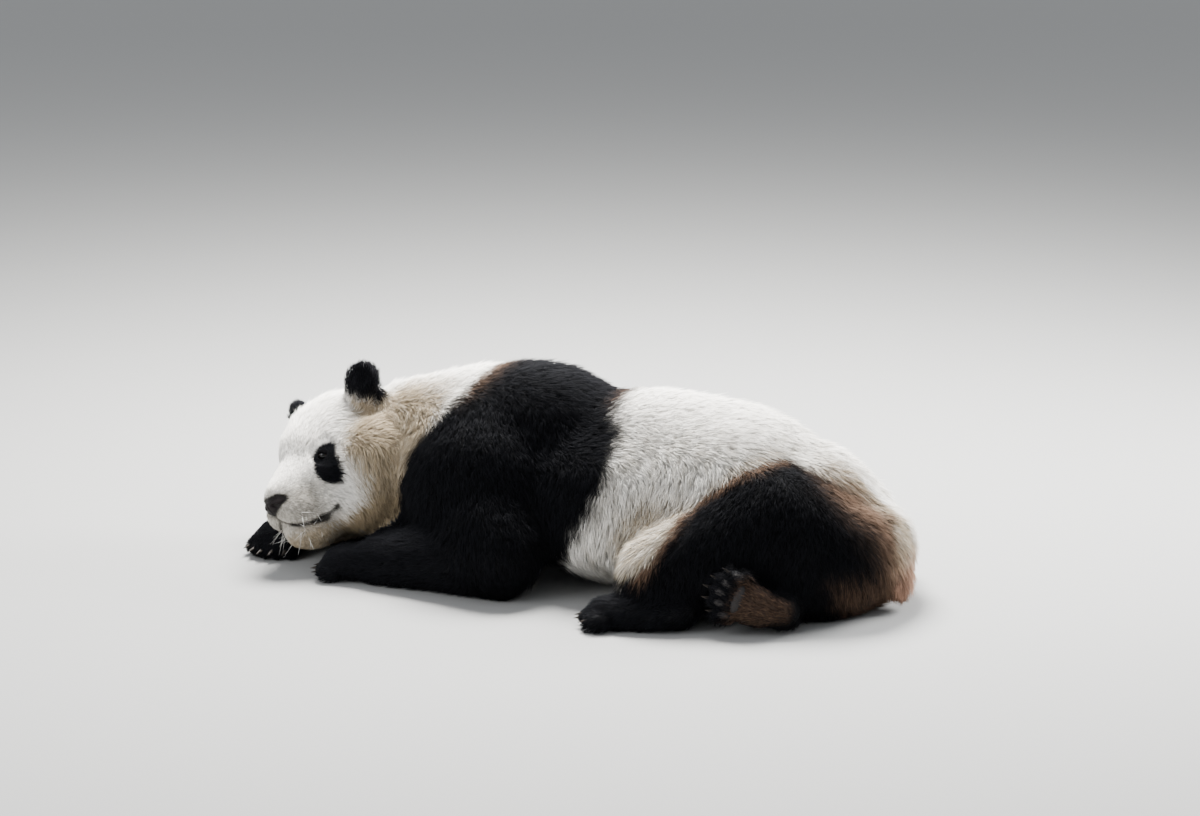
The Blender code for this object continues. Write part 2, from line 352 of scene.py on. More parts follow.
MOUTH: tuple[Place, ...] = (
    (0.226, 0.000, -0.082), (0.216, 0.002, -0.097), (0.206, 0.020, -0.109), (0.186, 0.036, -0.120),
    (0.163, 0.050, -0.123), (0.140, 0.062, -0.121), (0.130, 0.079, -0.1165), (0.124, 0.087, -0.111),
)
NOSE_CENTRE: Place = (0.204, 0.0, -0.0585)
NOSE_RADII: Place = (0.0275, 0.0375, 0.0250)
NOSE_TAPER = 0.42
HEAD = HeadFrame()
LEFT_FORE = FootFrame(
    "left_fore", (0.2116, -0.4161, -0.002), (-0.10, -1, 0), (0, 0, 1), 0.150, 0.118
)
RIGHT_FORE = FootFrame(
    "right_fore", (-0.0054, -0.7131, -0.002), (1, -0.22, 0), (0, 0, 1), 0.150, 0.118
)
LEFT_HIND = FootFrame(
    "left_hind", (0.3416, 0.3639, -0.002), (0.06, -1, 0), (0, 0, 1), 0.225, 0.112
)
TURNED_UP = FootFrame(
    "right_hind", (0.3216, 0.5809, 0.054), (0.16, -0.89, 0.34), (-0.93, -0.28, -0.20), 0.158, 0.104
)
FEET = (LEFT_FORE, RIGHT_FORE, LEFT_HIND, TURNED_UP)


# ---------------------------------------------------------------- how the coat lies


class Lay(Enum):
    """Which way the hair of a part runs."""

    ALONG = "along the part, from its root to its end"
    BACKWARD = "to the tail on top, and down the sides"
    FROM_NOSE = "away from the nose"


@dataclass(frozen=True)
class Hair:
    """A kind of hair: its length, the coat's depth, a tuft's width, and tufts to a square metre.

    What is None stays as it was.
    """

    length: float
    depth: float | None = None
    width: float | None = None
    crowd: float | None = None


TRUNK_HAIR = Hair(0.038, 0.019, 0.0019, 95e3)
NECK_HAIR = Hair(0.038, 0.019, 0.0019, 100e3)
UPPER_LIMB_HAIR = Hair(0.038, 0.019, 0.0019, 85e3)
LOWER_LIMB_HAIR = Hair(0.028, 0.014, 0.0018, 95e3)
TURNED_SHANK_HAIR = Hair(0.026, 0.013, 0.0018, 95e3)
PAW_HAIR = Hair(0.015, 0.006, 0.0017, 150e3)
HIND_FOOT_HAIR = Hair(0.017, 0.006, 0.0017, 150e3)
TAIL_HAIR = Hair(0.032, 0.014, 0.0019, 95e3)
HEAD_HAIR = Hair(0.021, 0.010, 0.0014, 190e3)
EAR_HAIR = Hair(0.018, 0.007, 0.0016, 200e3)
EAR_TIP_HAIR = Hair(0.020)
CHEEK_HAIR = Hair(0.032, 0.014)
MUZZLE_HAIR = Hair(0.0085, 0.0045, 0.0015, 380e3)
PATCH_HAIR = Hair(0.0070, 0.009, 0.0015, 380e3)
LIP_HAIR = Hair(0.0055, width=0.0012)


@dataclass(frozen=True)
class Part:
    """One part of the body as the comb meets it.

    start, end and girth are its middle line and thickness, and heading is where its hair points if
    not along that line.
    """

    name: str
    start: Place
    end: Place
    girth: float
    hair: Hair
    lay: Lay = Lay.ALONG
    heading: Place | None = None


def head_part(
    name: str, start: Place, end: Place, girth: float, hair: Hair, lay: Lay = Lay.ALONG
) -> Part:
    """A part given in the head's frame."""
    return Part(name, tuple(HEAD.place(start)), tuple(HEAD.place(end)), girth, hair, lay)


PARTS = (
    Part("trunk", (-0.05, -0.30, 0.24), (-0.04, 0.62, 0.17), 0.215, TRUNK_HAIR, Lay.BACKWARD),
    Part("neck", (-0.05, -0.27, 0.29), (-0.02, -0.50, 0.26), 0.170, NECK_HAIR, Lay.BACKWARD),
    head_part("head", (-0.06, 0, 0.0), (0.17, 0, -0.045), 0.135, HEAD_HAIR, Lay.FROM_NOSE),
    head_part("left_ear", (-0.022, 0.105, 0.085), (-0.016, 0.150, 0.148), 0.045, EAR_HAIR),
    head_part("right_ear", (-0.022, -0.105, 0.085), (-0.016, -0.150, 0.148), 0.045, EAR_HAIR),
    Part("left_upper_arm", (0.115, -0.20, 0.33), (0.215, -0.115, 0.10), 0.125, UPPER_LIMB_HAIR),
    Part("left_forearm", (0.220, -0.11, 0.085), (0.212, -0.40, 0.055), 0.076, LOWER_LIMB_HAIR),
    Part("left_forepaw", (0.212, -0.43, 0.045), (0.198, -0.57, 0.030), 0.052, PAW_HAIR),
    Part("right_upper_arm", (-0.215, -0.20, 0.33), (-0.315, -0.20, 0.10), 0.125, UPPER_LIMB_HAIR),
    Part("right_forearm", (-0.300, -0.22, 0.085), (-0.090, -0.64, 0.065), 0.082, LOWER_LIMB_HAIR),
    Part("right_forepaw", (-0.01, -0.710, 0.045), (0.140, -0.745, 0.030), 0.052, PAW_HAIR),
    Part("left_thigh", (0.060, 0.56, 0.22), (0.270, 0.28, 0.105), 0.145, UPPER_LIMB_HAIR,
         heading=(0.30, -0.10, -1.0)),
    Part("left_shank", (0.275, 0.27, 0.09), (0.308, 0.36, 0.055), 0.070, LOWER_LIMB_HAIR,
         heading=(0.3, 0.3, -1.0)),
    Part("left_foot", (0.335, 0.37, 0.045), (0.350, 0.15, 0.032), 0.050, HIND_FOOT_HAIR),
    Part("right_thigh", (-0.160, 0.56, 0.20), (-0.320, 0.27, 0.105), 0.145, UPPER_LIMB_HAIR,
         heading=(-0.30, -0.10, -1.0)),
    Part("right_shank", (-0.28, 0.31, 0.065), (0.20, 0.56, 0.055), 0.060, TURNED_SHANK_HAIR),
    Part("right_foot", (0.295, 0.585, 0.045), (0.345, 0.43, 0.108), 0.044, PAW_HAIR),
    Part("tail", (-0.03, 0.73, 0.18), (0.005, 0.767, 0.056), 0.045, TAIL_HAIR,
         heading=(0.1, 0.25, -1.0)),
)


@dataclass
class Lie:
    """The coat at many places: its direction, length, depth, tuft width, crowding and part."""

    flow: np.ndarray
    length: np.ndarray
    depth: np.ndarray
    width: np.ndarray
    crowd: np.ndarray
    part: np.ndarray

    def lean_to(self, hair: Hair, share: np.ndarray) -> None:
        """Brings the coat towards a kind of hair.

        Args:
            hair: the kind of hair.
            share: how far towards it at each place, from 0 to 1.
        """
        for name, goal in vars(hair).items():
            if goal is not None:
                now = getattr(self, name)
                setattr(self, name, now + share * (goal - now))


@dataclass(frozen=True)
class Comb:
    """Works out how the coat lies anywhere, blending smoothly from part to part."""

    sharpness: float = 7.0
    core: float = 0.2
    nose_tip: Place = (0.215, 0, -0.040)
    drooping: Ramp = Ramp(0.06, 0.22)
    droop: Place = (0, 0.1, -0.35)
    top: Ramp = Ramp(0.45, 0.95)
    sideways_share: float = 0.22
    face_middle: Place = (0.0, 0, -0.02)
    face: Ramp = Ramp(0.30, 0.24)
    cheek_height: Ramp = Ramp(0.03, -0.06)
    cheek_front: Ramp = Ramp(0.13, 0.05)
    cheek_side: Ramp = Ramp(0.06, 0.12)
    muzzle: Ramp = Ramp(0.095, 0.155)
    ear_middle: Place = (-0.022, 0.137, 0.122)
    ear: Ramp = Ramp(0.082, 0.062)
    eye_room: float = 0.034
    eye_blend: float = 0.012
    eye_parting: float = 2.5
    lips: Ramp = Ramp(0.018, 0.008)

    def heading(self, part: Part, points: np.ndarray, normals: np.ndarray) -> np.ndarray:
        """The way the hair of one part would run at these places.

        Args:
            part: the part whose hair it is.
            points: places as rows.
            normals: the surface's normals there.

        Returns:
            Directions as rows, not yet laid on the surface.
        """
        if part.lay is Lay.FROM_NOSE:
            off = points - np.array(HEAD.place(self.nose_tip))
            droop = self.drooping(np.linalg.norm(off, axis=1))
            return unit(unit(off) + droop[:, None] * np.array(self.droop))
        if part.lay is Lay.BACKWARD:
            top = self.top(np.abs(normals[:, 2:3]))
            back = self.sideways_share + (1 - self.sideways_share) * top
            return np.array([0.0, 1.0, 0.0]) * back + np.array([0.0, 0.0, -1.0]) * (1.0 - top)
        way = np.array(part.heading or np.subtract(part.end, part.start))
        return np.broadcast_to(way / np.linalg.norm(way), points.shape)

    def lie(self, points: np.ndarray, normals: np.ndarray) -> Lie:
        """How the coat lies at these places.

        Args:
            points: places as rows.
            normals: the surface's normals there.

        Returns:
            The coat's lie, with directions flat on the surface.
        """
        flow = np.zeros_like(points)
        sums = np.zeros((len(points), 4))
        total = np.zeros(len(points))
        nearest, part = np.full(len(points), np.inf), np.zeros(len(points), int)
        for i, p in enumerate(PARTS):
            ratio = distance_to_line(points, p.start, p.end) / p.girth
            weight = np.maximum(ratio, self.core) ** -self.sharpness
            flow += weight[:, None] * self.heading(p, points, normals)
            sums += weight[:, None] * np.array(list(vars(p.hair).values()))
            total += weight
            part[ratio < nearest] = i
            nearest = np.minimum(nearest, ratio)
        length, depth, width, crowd = (sums / total[:, None]).T
        return self.on_the_head(points, normals, Lie(flow, length, depth, width, crowd, part))

    def on_the_head(self, points: np.ndarray, normals: np.ndarray, lie: Lie) -> Lie:
        """Adds what is finer on the head: short hair on muzzle and patches, long on the cheeks.

        Args:
            points: places as rows.
            normals: the surface's normals there.
            lie: the lie so far, changed by this.

        Returns:
            The finished lie, with directions flat on the surface and of length one.
        """
        at = HEAD.local(points)
        face = self.face(np.linalg.norm(at - np.array(self.face_middle), axis=1))
        cheek = face * self.cheek_height(at[:, 2]) * self.cheek_front(at[:, 0])
        lie.lean_to(CHEEK_HAIR, cheek * self.cheek_side(np.abs(at[:, 1])))
        lie.lean_to(MUZZLE_HAIR, face * self.muzzle(at[:, 0]))
        off = folded(at) - np.array(self.ear_middle)
        lie.lean_to(EAR_TIP_HAIR, self.ear(np.linalg.norm(off, axis=1)))
        for eye in eye_places():
            off = points - np.array(eye)
            gap = np.linalg.norm(off, axis=1)
            near = smoothstep(self.eye_room + self.eye_blend, self.eye_room - self.eye_blend, gap)
            push = near * self.eye_parting * np.linalg.norm(lie.flow, axis=1)
            lie.flow += push[:, None] * unit(off)
            lie.lean_to(PATCH_HAIR, near)
        lie.lean_to(LIP_HAIR, face * self.lips(distance_to_mouth(at)))
        lie.flow = unit(lie.flow - np.sum(lie.flow * normals, axis=1)[:, None] * normals)
        return lie


def eye_places() -> list[Vector]:
    """The middles of both eyeballs."""
    return [sum(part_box(name), Vector()) / 2 for name in ("eye_left", "eye_right")]


# ---------------------------------------------------------------- markings


@dataclass(frozen=True)
class Yoke:
    """The black band over shoulders and chest: where its edges run, and where they are rusty."""

    front_heights: tuple[float, ...] = (
        0.20, 0.235, 0.255, 0.290, 0.315, 0.36, 0.41, 0.462, 0.474, 0.484
    )
    front: tuple[float, ...] = (
        -0.90, -0.46, -0.374, -0.372, -0.356, -0.322, -0.288, -0.246, -0.205, -0.130
    )
    back_heights: tuple[float, ...] = (0.0, 0.08, 0.16, 0.22, 0.28, 0.355, 0.41, 0.44)
    back: tuple[float, ...] = (-0.05, -0.001, 0.066, 0.101, 0.123, 0.118, 0.095, 0.086)
    waver: float = 0.006
    front_edge: Ramp = Ramp(-0.012, 0.012)
    back_edge: Ramp = Ramp(-0.020, 0.020)
    rust_width: float = 0.030
    rust_heights: Ramp = Ramp(0.38, 0.44)
    rust_most: float = 0.8

    def masks(self, points: np.ndarray, streaks: np.ndarray) -> tuple[np.ndarray, np.ndarray]:
        """The band at places on the skin.

        Args:
            points: places as rows.
            streaks: how the band's rear edge wavers.

        Returns:
            The band's mask, and how rusty it is along its upper edges.
        """
        _, y, z = points.T
        front = y - np.interp(z, self.front_heights, self.front)
        back = np.interp(z, self.back_heights, self.back) - y + self.waver * streaks
        rust = hump(np.minimum(front, back), 0.0, self.rust_width) * self.rust_heights(z)
        return self.front_edge(front) * self.back_edge(back), self.rust_most * rust


@dataclass(frozen=True)
class Hindquarters:
    """The black of the thighs, sharp in front and fading through brown over the rump.

    tops is the black's upper edge at each of lengths. The far side's edge is lower.
    """

    lengths: tuple[float, ...] = (
        0.20, 0.235, 0.27, 0.291, 0.32, 0.34, 0.37, 0.42, 0.49, 0.56, 0.62, 0.70, 0.80
    )
    tops: tuple[float, ...] = (
        0.115, 0.121, 0.138, 0.158, 0.210, 0.237, 0.281, 0.319, 0.343, 0.354, 0.364, 0.350, 0.30
    )
    midline: float = -0.05
    rump: Ramp = Ramp(0.50, 0.65)
    far_side: Ramp = Ramp(0.02, -0.02)
    far_lower: tuple[float, float] = (0.04, 0.18)
    edge: tuple[float, float] = (0.013, 0.060)
    start: Ramp = Ramp(0.20, 0.25)
    outer: Ramp = Ramp(0.15, 0.20)
    outer_lean: tuple[float, float] = (0.12, 0.5)
    inner: Ramp = Ramp(0.082, 0.118)
    whole_leg: Ramp = Ramp(0.30, 0.42)
    rump_sides: Ramp = Ramp(-0.102, 0.232)
    black: Ramp = Ramp(0.12, 0.62)
    beside: float = 0.1
    fringe_drop: float = 0.007
    fringe_width: tuple[float, float] = (0.016, 0.007)
    fringe_thins: Ramp = Ramp(0.34, 0.46)
    fringe_start: Ramp = Ramp(0.24, 0.28)
    low_rust: float = 0.6
    low_heights: Ramp = Ramp(0.15, 0.07)
    low_lengths: Ramp = Ramp(0.62, 0.68)
    rump_rust: Ramp = Ramp(1.0, 0.70)
    rump_tan: Ramp = Ramp(0.0, 0.25)
    rump_tan_most: float = 0.80
    glow_most: float = 0.55
    glow_rise: float = -0.012
    glow_width: float = 0.010
    glow_start: Ramp = Ramp(0.26, 0.30)

    def masks(
        self, points: np.ndarray, thigh: np.ndarray
    ) -> tuple[np.ndarray, np.ndarray, np.ndarray]:
        """The hindquarters at places on the skin.

        Args:
            points: places as rows.
            thigh: how much each place belongs to a thigh.

        Returns:
            Masks of black, of rust and of tan.
        """
        x, y, z = points.T
        side = np.abs(x - self.midline)
        rear = self.rump(y)
        far = self.far_side(x - self.midline) * (self.far_lower[0] + self.far_lower[1] * rear)
        drop = np.interp(y, self.lengths, self.tops) - far - z
        over = smoothstep(-1.0, 1.0, drop / (self.edge[0] + self.edge[1] * rear))
        over = over * np.maximum(self.start(y), thigh)
        outer = self.outer(side + self.outer_lean[1] * (self.outer_lean[0] - z).clip(0))
        near = self.inner(side) * np.maximum(outer, self.whole_leg(y))
        deep = over * (near + rear * (self.rump_sides(side) - near))
        wide = self.fringe_width[0] - self.fringe_width[1] * self.fringe_thins(y)
        fringe = hump(drop, self.fringe_drop, wide) * self.fringe_start(y) * (1 - rear)
        low = self.low_rust * self.low_heights(z) * self.low_lengths(y)
        beside = side > self.beside
        rust = np.maximum.reduce([rear * self.rump_rust(deep), fringe * beside, low])
        glow = self.glow_most * hump(drop, self.glow_rise, self.glow_width)
        glow = glow * self.glow_start(y) * (1 - rear)
        tan = np.maximum(self.rump_tan_most * rear * self.rump_tan(deep), glow * beside)
        return self.black(deep), rust, tan


@dataclass(frozen=True)
class FaceMarks:
    """Eye patches, lips, ears, the face's tan and its painted shade, in the head's frame."""

    patch_middle: tuple[float, float] = (0.0930, -0.0190)
    patch_way: tuple[float, float] = (0.24, -0.971)
    patch_half: tuple[float, float] = (0.0445, 0.0192)
    patch_edge: Ramp = Ramp(1.10, 0.90)
    patch_front: float = 0.03
    eye_middle: tuple[float, float] = (0.084, 0.009)
    eye_half: float = 0.0195
    merging: float = 7.0
    lip_line: Ramp = Ramp(0.0072, 0.0038)
    # painted shadow of the upper lip at the mouth's corners
    corner_shadow: Ramp = Ramp(0.0130, 0.0062)
    corner_shadow_side: Ramp = Ramp(0.020, 0.060)
    corner_shadow_most: float = 0.95
    corner: Ramp = Ramp(0.062, 0.076)
    corner_wider: float = 0.0022
    nose_edge: Ramp = Ramp(1.16, 1.06)
    ear_middle: Place = (-0.022, 0.137, 0.126)
    ear_edge: Ramp = Ramp(0.064, 0.056)
    ear_under: float = 1.2
    ear_tip: float = 0.5
    cheek_side: Ramp = Ramp(0.075, 0.130)
    cheek_front: Ramp = Ramp(0.112, 0.058)
    cheek_top: Ramp = Ramp(0.175, 0.08)
    cheek_slant_up: float = 0.6
    cheek_slant_down: float = 0.15
    # tan and painted shade: the cheek's tan is made darker to stand in for shade
    cheek_tan_and_shade_most: float = 0.95
    jowl: Place = (0.080, 0.0, -0.128)
    jowl_width: float = 0.026
    jowl_most: float = 0.6
    # painted shade under the chin, in tan
    chin: Ramp = Ramp(-0.11, -0.15)
    chin_shade_most: float = 0.80
    # painted shade: where the muzzle's sides are greyed
    muzzle_front: Ramp = Ramp(0.10, 0.16)
    muzzle_height: Ramp = Ramp(0.0, -0.06)

    def patches(self, at: np.ndarray) -> np.ndarray:
        """The teardrops round the eyes, narrow at the inner top and wide at the outer bottom.

        Args:
            at: places in the head's frame, as rows.

        Returns:
            The mask there, from 0 to 1.
        """
        out, up = np.abs(at[:, 1]), at[:, 2]
        u, v = out - self.patch_middle[0], up - self.patch_middle[1]
        along = u * self.patch_way[0] + v * self.patch_way[1]
        across = u * self.patch_way[1] - v * self.patch_way[0]
        reach = np.hypot(along / self.patch_half[0], across / self.patch_half[1])
        eye = np.hypot(out - self.eye_middle[0], up - self.eye_middle[1]) / self.eye_half
        both = -np.logaddexp(-self.merging * reach, -self.merging * eye) / self.merging
        return self.patch_edge(both) * (at[:, 0] > self.patch_front)

    def lips(self, at: np.ndarray) -> np.ndarray:
        """The mouth's dark line, with painted shadow at its corners, and the seam under the nose.

        Args:
            at: places in the head's frame, as rows.

        Returns:
            The mask there, from 0 to 1.
        """
        near, side = distance_to_mouth(at), np.abs(at[:, 1])
        # painted shadow of the upper lip, darkening the mouth's corners
        corner = self.corner_shadow(near - self.corner_wider * self.corner(side))
        corner = self.corner_shadow_most * self.corner_shadow_side(side) * corner
        return np.maximum.reduce([self.lip_line(near), corner, self.nose_edge(nose_reach(at))])

    def ears(self, at: np.ndarray) -> np.ndarray:
        """The black of the ears, down to where they meet the crown.

        Args:
            at: places in the head's frame, as rows.

        Returns:
            The mask there, from 0 to 1.
        """
        out, up = np.abs(at[:, 1]) - self.ear_middle[1], at[:, 2] - self.ear_middle[2]
        up = self.ear_under * np.minimum(up, 0) + self.ear_tip * np.maximum(up, 0)
        out = np.minimum(out, 0) + self.ear_tip * np.maximum(out, 0)
        return self.ear_edge(np.linalg.norm([at[:, 0] - self.ear_middle[0], out, up], axis=0))

    def tan(self, at: np.ndarray) -> tuple[np.ndarray, np.ndarray]:
        """The cheeks' and jowls' tan, partly painted shade, and the chin's painted shade.

        Args:
            at: places in the head's frame, as rows.

        Returns:
            The mask of cheeks and jowls, and that of the chin's painted shade.
        """
        forward, out, up = at[:, 0], np.abs(at[:, 1]), at[:, 2]
        edge = forward + self.cheek_slant_up * up.clip(0, 0.2)
        edge = edge - self.cheek_slant_down * up.clip(-0.10, 0)
        cheek = self.cheek_side(out) * self.cheek_front(edge) * self.cheek_top(up)
        off = (forward - self.jowl[0], up - self.jowl[2])
        jowl = np.exp(-((off[0] / self.jowl_width) ** 2 + (off[1] / self.jowl_width) ** 2))
        return self.cheek_tan_and_shade_most * cheek + self.jowl_most * jowl, self.chin_shade_most * self.chin(up)

    def muzzle(self, at: np.ndarray) -> np.ndarray:
        """Painted shade on the muzzle's sides, in grey."""
        return self.muzzle_front(at[:, 0]) * self.muzzle_height(at[:, 2])


@dataclass(frozen=True)
class SoleFur:
    """The brown fur on the sole of the turned-up foot, behind its toes."""

    most: float = 0.5
    thickness: Ramp = Ramp(0.034, 0.016)
    toes: Ramp = Ramp(0.115, 0.085)
    back: float = -0.03

    def mask(self, points: np.ndarray) -> np.ndarray:
        """The brown at places on the skin.

        Args:
            points: places as rows.

        Returns:
            The mask there, from 0 to 1.
        """
        at = moved(TURNED_UP.matrix().inverted(), points)
        inside = (np.abs(at[:, 1]) < TURNED_UP.width) * (at[:, 2] > self.back)
        fur = self.most * inside * self.thickness(at[:, 2]) * self.toes(at[:, 0])
        return fur * (at[:, 0] > self.back)


@dataclass(frozen=True)
class Markings:
    """Where the coat is black, rust-brown, stained or shaded, as masks from 0 to 1."""

    yoke: Yoke = Yoke()
    hindquarters: Hindquarters = Hindquarters()
    face: FaceMarks = FaceMarks()
    sole: SoleFur = SoleFur()
    streak_waves: tuple[float, float, float] = (40.0, 210.0, 45.0)
    streak_count: int = 9
    streak_softness: float = 2.1
    thigh_heights: Ramp = Ramp(0.30, 0.22)
    thigh_lengths: Ramp = Ramp(0.42, 0.32)
    # tan and painted shade: the front of the thigh is darkened with tan and grey
    thigh_tan_shade: float = 0.5
    thigh_grey_shade: float = 0.85
    stain_lengths: Ramp = Ramp(0.67, 0.76)
    stain_heights: Ramp = Ramp(0.17, 0.07)
    # painted shade, in tan, in the fold of the neck behind the cheek
    crease_front: Ramp = Ramp(0.06, 0.02)
    crease_back: Ramp = Ramp(-0.17, -0.07)
    crease_top: Ramp = Ramp(0.17, 0.06)
    crease_inner: Ramp = Ramp(0.11, 0.17)
    crease_outer: Ramp = Ramp(0.33, 0.27)
    crease_shade_most: float = 0.92
    flank_heights: Ramp = Ramp(0.42, 0.33)
    flank_most: float = 0.38
    flank_band: tuple[float, float, float] = (0.14, 0.355, 0.045)
    belly_heights: Ramp = Ramp(0.20, 0.08)
    # painted shade: extra grey low on the belly, which faces down
    belly_shade: float = 0.35
    flank_lengths: Ramp = Ramp(0.0, 0.10)
    streaking: float = 0.8

    def streaks(self, points: np.ndarray) -> np.ndarray:
        """Uneven darker and paler stripes down the flanks, from -1 to 1.

        Args:
            points: places as rows.

        Returns:
            A number for each place.
        """
        rng = np.random.default_rng(SEED + 2)
        waves = rng.normal(0, 1, (self.streak_count, 3)) * self.streak_waves
        phases = rng.uniform(0, 2 * math.pi, self.streak_count)
        return np.tanh(np.sin(points @ waves.T + phases).sum(1) / self.streak_softness)

    def flank(self, points: np.ndarray, streaks: np.ndarray) -> np.ndarray:
        """The greyer hair of the flanks, in stripes, with painted shade towards the belly.

        Args:
            points: places as rows.
            streaks: the stripes there, from -1 to 1.

        Returns:
            The mask there, from 0 to 1.
        """
        _, y, z = points.T
        most, middle, width = self.flank_band
        flank = self.flank_most * self.flank_heights(z) + most * hump(z, middle, width)
        # painted shade: the grey deepens towards the belly
        flank = (flank + self.belly_shade * self.belly_heights(z)) * self.flank_lengths(y)
        return flank * (1 + self.streaking * streaks)

    def crease_shade(self, at: np.ndarray) -> np.ndarray:
        """The tan of the neck's fold behind the cheek, mostly painted shade, in the head's frame.

        Args:
            at: places in the head's frame, as rows.

        Returns:
            The mask there, from 0 to 1.
        """
        forward, out, up = at[:, 0], np.abs(at[:, 1]), at[:, 2]
        crease_shade = self.crease_front(forward) * self.crease_back(forward) * self.crease_top(up)
        return crease_shade * (self.crease_inner(out) * self.crease_outer(out))

    def masks(self, points: np.ndarray, nodes: dict[str, np.ndarray]) -> dict[str, np.ndarray]:
        """All the masks at places on the skin.

        Args:
            points: places as rows.
            nodes: for each solid's name, how much each place belongs to it.

        Returns:
            The masks by name.
        """
        _, y, z = points.T
        at = HEAD.local(points)
        head, both_ears = nodes["head"], nodes["ear_left"] + nodes["ear_right"]
        low = ("forearm", "forepaw", "shank", "foot")
        limbs = sum(v for n, v in nodes.items() if n.endswith(low))
        streaks = self.streaks(points)
        yoke, yoke_rust = self.yoke.masks(points, streaks)
        yoke *= (1 - head - nodes["ear_left"] - nodes["ear_right"]).clip(0, 1)
        thigh = nodes["left_thigh"] + nodes["right_thigh"]
        hind, hind_rust, tan = self.hindquarters.masks(points, thigh)
        # tan and painted shade on the front of the thigh, which faces up into the light
        thigh = thigh * self.thigh_heights(z) * self.thigh_lengths(y)
        rust = np.maximum(yoke_rust * yoke, hind_rust * (1 - limbs).clip(0, 1))
        cheek, chin = self.face.tan(at)
        # tan of cheeks and jowls, and painted shade in tan on the chin, the neck's fold and the
        # thighs
        ochre = head * cheek + self.crease_shade_most * self.crease_shade(at) * (1 - head)
        ochre = ochre + head * chin + self.thigh_tan_shade * thigh
        # greyer flank hair, and painted shade on the lower flanks, the muzzle's sides and the
        # thighs' fronts
        grey = (self.flank(points, streaks), head * self.face.muzzle(at), self.thigh_grey_shade * thigh)
        return {
            "black": np.maximum.reduce([
                yoke, limbs, hind * (1 - nodes["tail"]), both_ears * self.face.ears(at),
                self.face.patches(at) * head,
            ]),
            "rust": np.maximum(rust, self.sole.mask(points)).clip(0, 1),
            "stain": self.stain_lengths(y) * self.stain_heights(z),
            "ochre": np.maximum(ochre, tan).clip(0, 1),
            "grey": np.maximum.reduce(grey).clip(0, 1),
            "lip": self.face.lips(at) * head,
        }


def nose_reach(at: np.ndarray) -> np.ndarray:
    """How far out places in the head's frame are from the nose's middle, 1 on its leather."""
    x, y, z = ((at - np.array(NOSE_CENTRE)) / np.array(NOSE_RADII)).T
    return np.linalg.norm([x, y / nose_width(z), z], axis=0)


def nose_width(height: np.ndarray) -> np.ndarray:
    """How wide the nose is from its foot at -1 to its top at 1, as a share of its widest."""
    return 1 - NOSE_TAPER * smoothstep(0.1, -1.0, height)


def folded(at: np.ndarray) -> np.ndarray:
    """Places in the head's frame with the right side laid over the left."""
    return np.column_stack([at[:, 0], np.abs(at[:, 1]), at[:, 2]])


def distance_to_mouth(at: np.ndarray) -> np.ndarray:
    """How far places in the head's frame are from the mouth's line on their own side."""
    lines = zip(MOUTH, MOUTH[1:])
    return np.minimum.reduce([distance_to_line(folded(at), *ends) for ends in lines])


# ---------------------------------------------------------------- finishes


def new_material(name: str) -> tuple[bpy.types.Material, bpy.types.NodeTree, bpy.types.Node]:
    """Makes a material.

    Args:
        name: its name.

    Returns:
        The material, its nodes and its main shader.
    """
    material = bpy.data.materials.new(name)
    material.use_nodes = True
    return material, material.node_tree, material.node_tree.nodes["Principled BSDF"]


def plain_material(name: str, colour: Colour, roughness: float) -> bpy.types.Material:
    """A material of one colour, for what is small or not part of the animal.

    Args:
        name: its name.
        colour: its colour.
        roughness: how matt it is.

    Returns:
        The material.
    """
    material, _, shader = new_material(name)
    dial(shader, {"Base Color": (*colour, 1), "Roughness": roughness})
    return material


def dial(node: bpy.types.Node, values: dict[str, float | tuple[float, ...]]) -> None:
    """Sets a node's inputs by their names."""
    for name, value in values.items():
        node.inputs[name].default_value = value


def mask_node(tree: bpy.types.NodeTree, name: str) -> bpy.types.NodeSocket:
    """A node that reads a stored mask, as its number socket.

    Args:
        tree: the nodes to add to.
        name: the mask's name.

    Returns:
        The mask's socket.
    """
    node = tree.nodes.new("ShaderNodeAttribute")
    node.attribute_name = name
    return node.outputs["Fac"]


def pattern(
    tree: bpy.types.NodeTree, kind: str, scale: float, output: str
) -> bpy.types.NodeSocket:
    """Adds a pattern that stays on the piece.

    Args:
        tree: the material's nodes.
        kind: which texture node it is.
        scale: how fine it is.
        output: the name of the texture's number.

    Returns:
        That number's socket.
    """
    where = tree.nodes.new("ShaderNodeTexCoord")
    texture = tree.nodes.new(kind)
    texture.inputs["Scale"].default_value = scale
    tree.links.new(where.outputs["Object"], texture.inputs["Vector"])
    return texture.outputs[output]


def coloured(
    tree: bpy.types.NodeTree, shader: bpy.types.Node, factor: bpy.types.NodeSocket,
    steps: tuple[tuple[float, Colour], ...],
) -> None:
    """Gives a shader its colour from a ramp.

    Args:
        tree: the material's nodes.
        shader: its main shader.
        factor: the number that runs along the ramp.
        steps: the ramp's places and colours, from first to last.
    """
    ramp = tree.nodes.new("ShaderNodeValToRGB")
    elements = ramp.color_ramp.elements
    for element, (position, colour) in zip(elements, (steps[0], steps[-1])):
        element.position, element.color = position, (*colour, 1)
    for position, colour in steps[1:-1]:
        elements.new(position).color = (*colour, 1)
    tree.links.new(factor, ramp.inputs["Fac"])
    tree.links.new(ramp.outputs["Color"], shader.inputs["Base Color"])


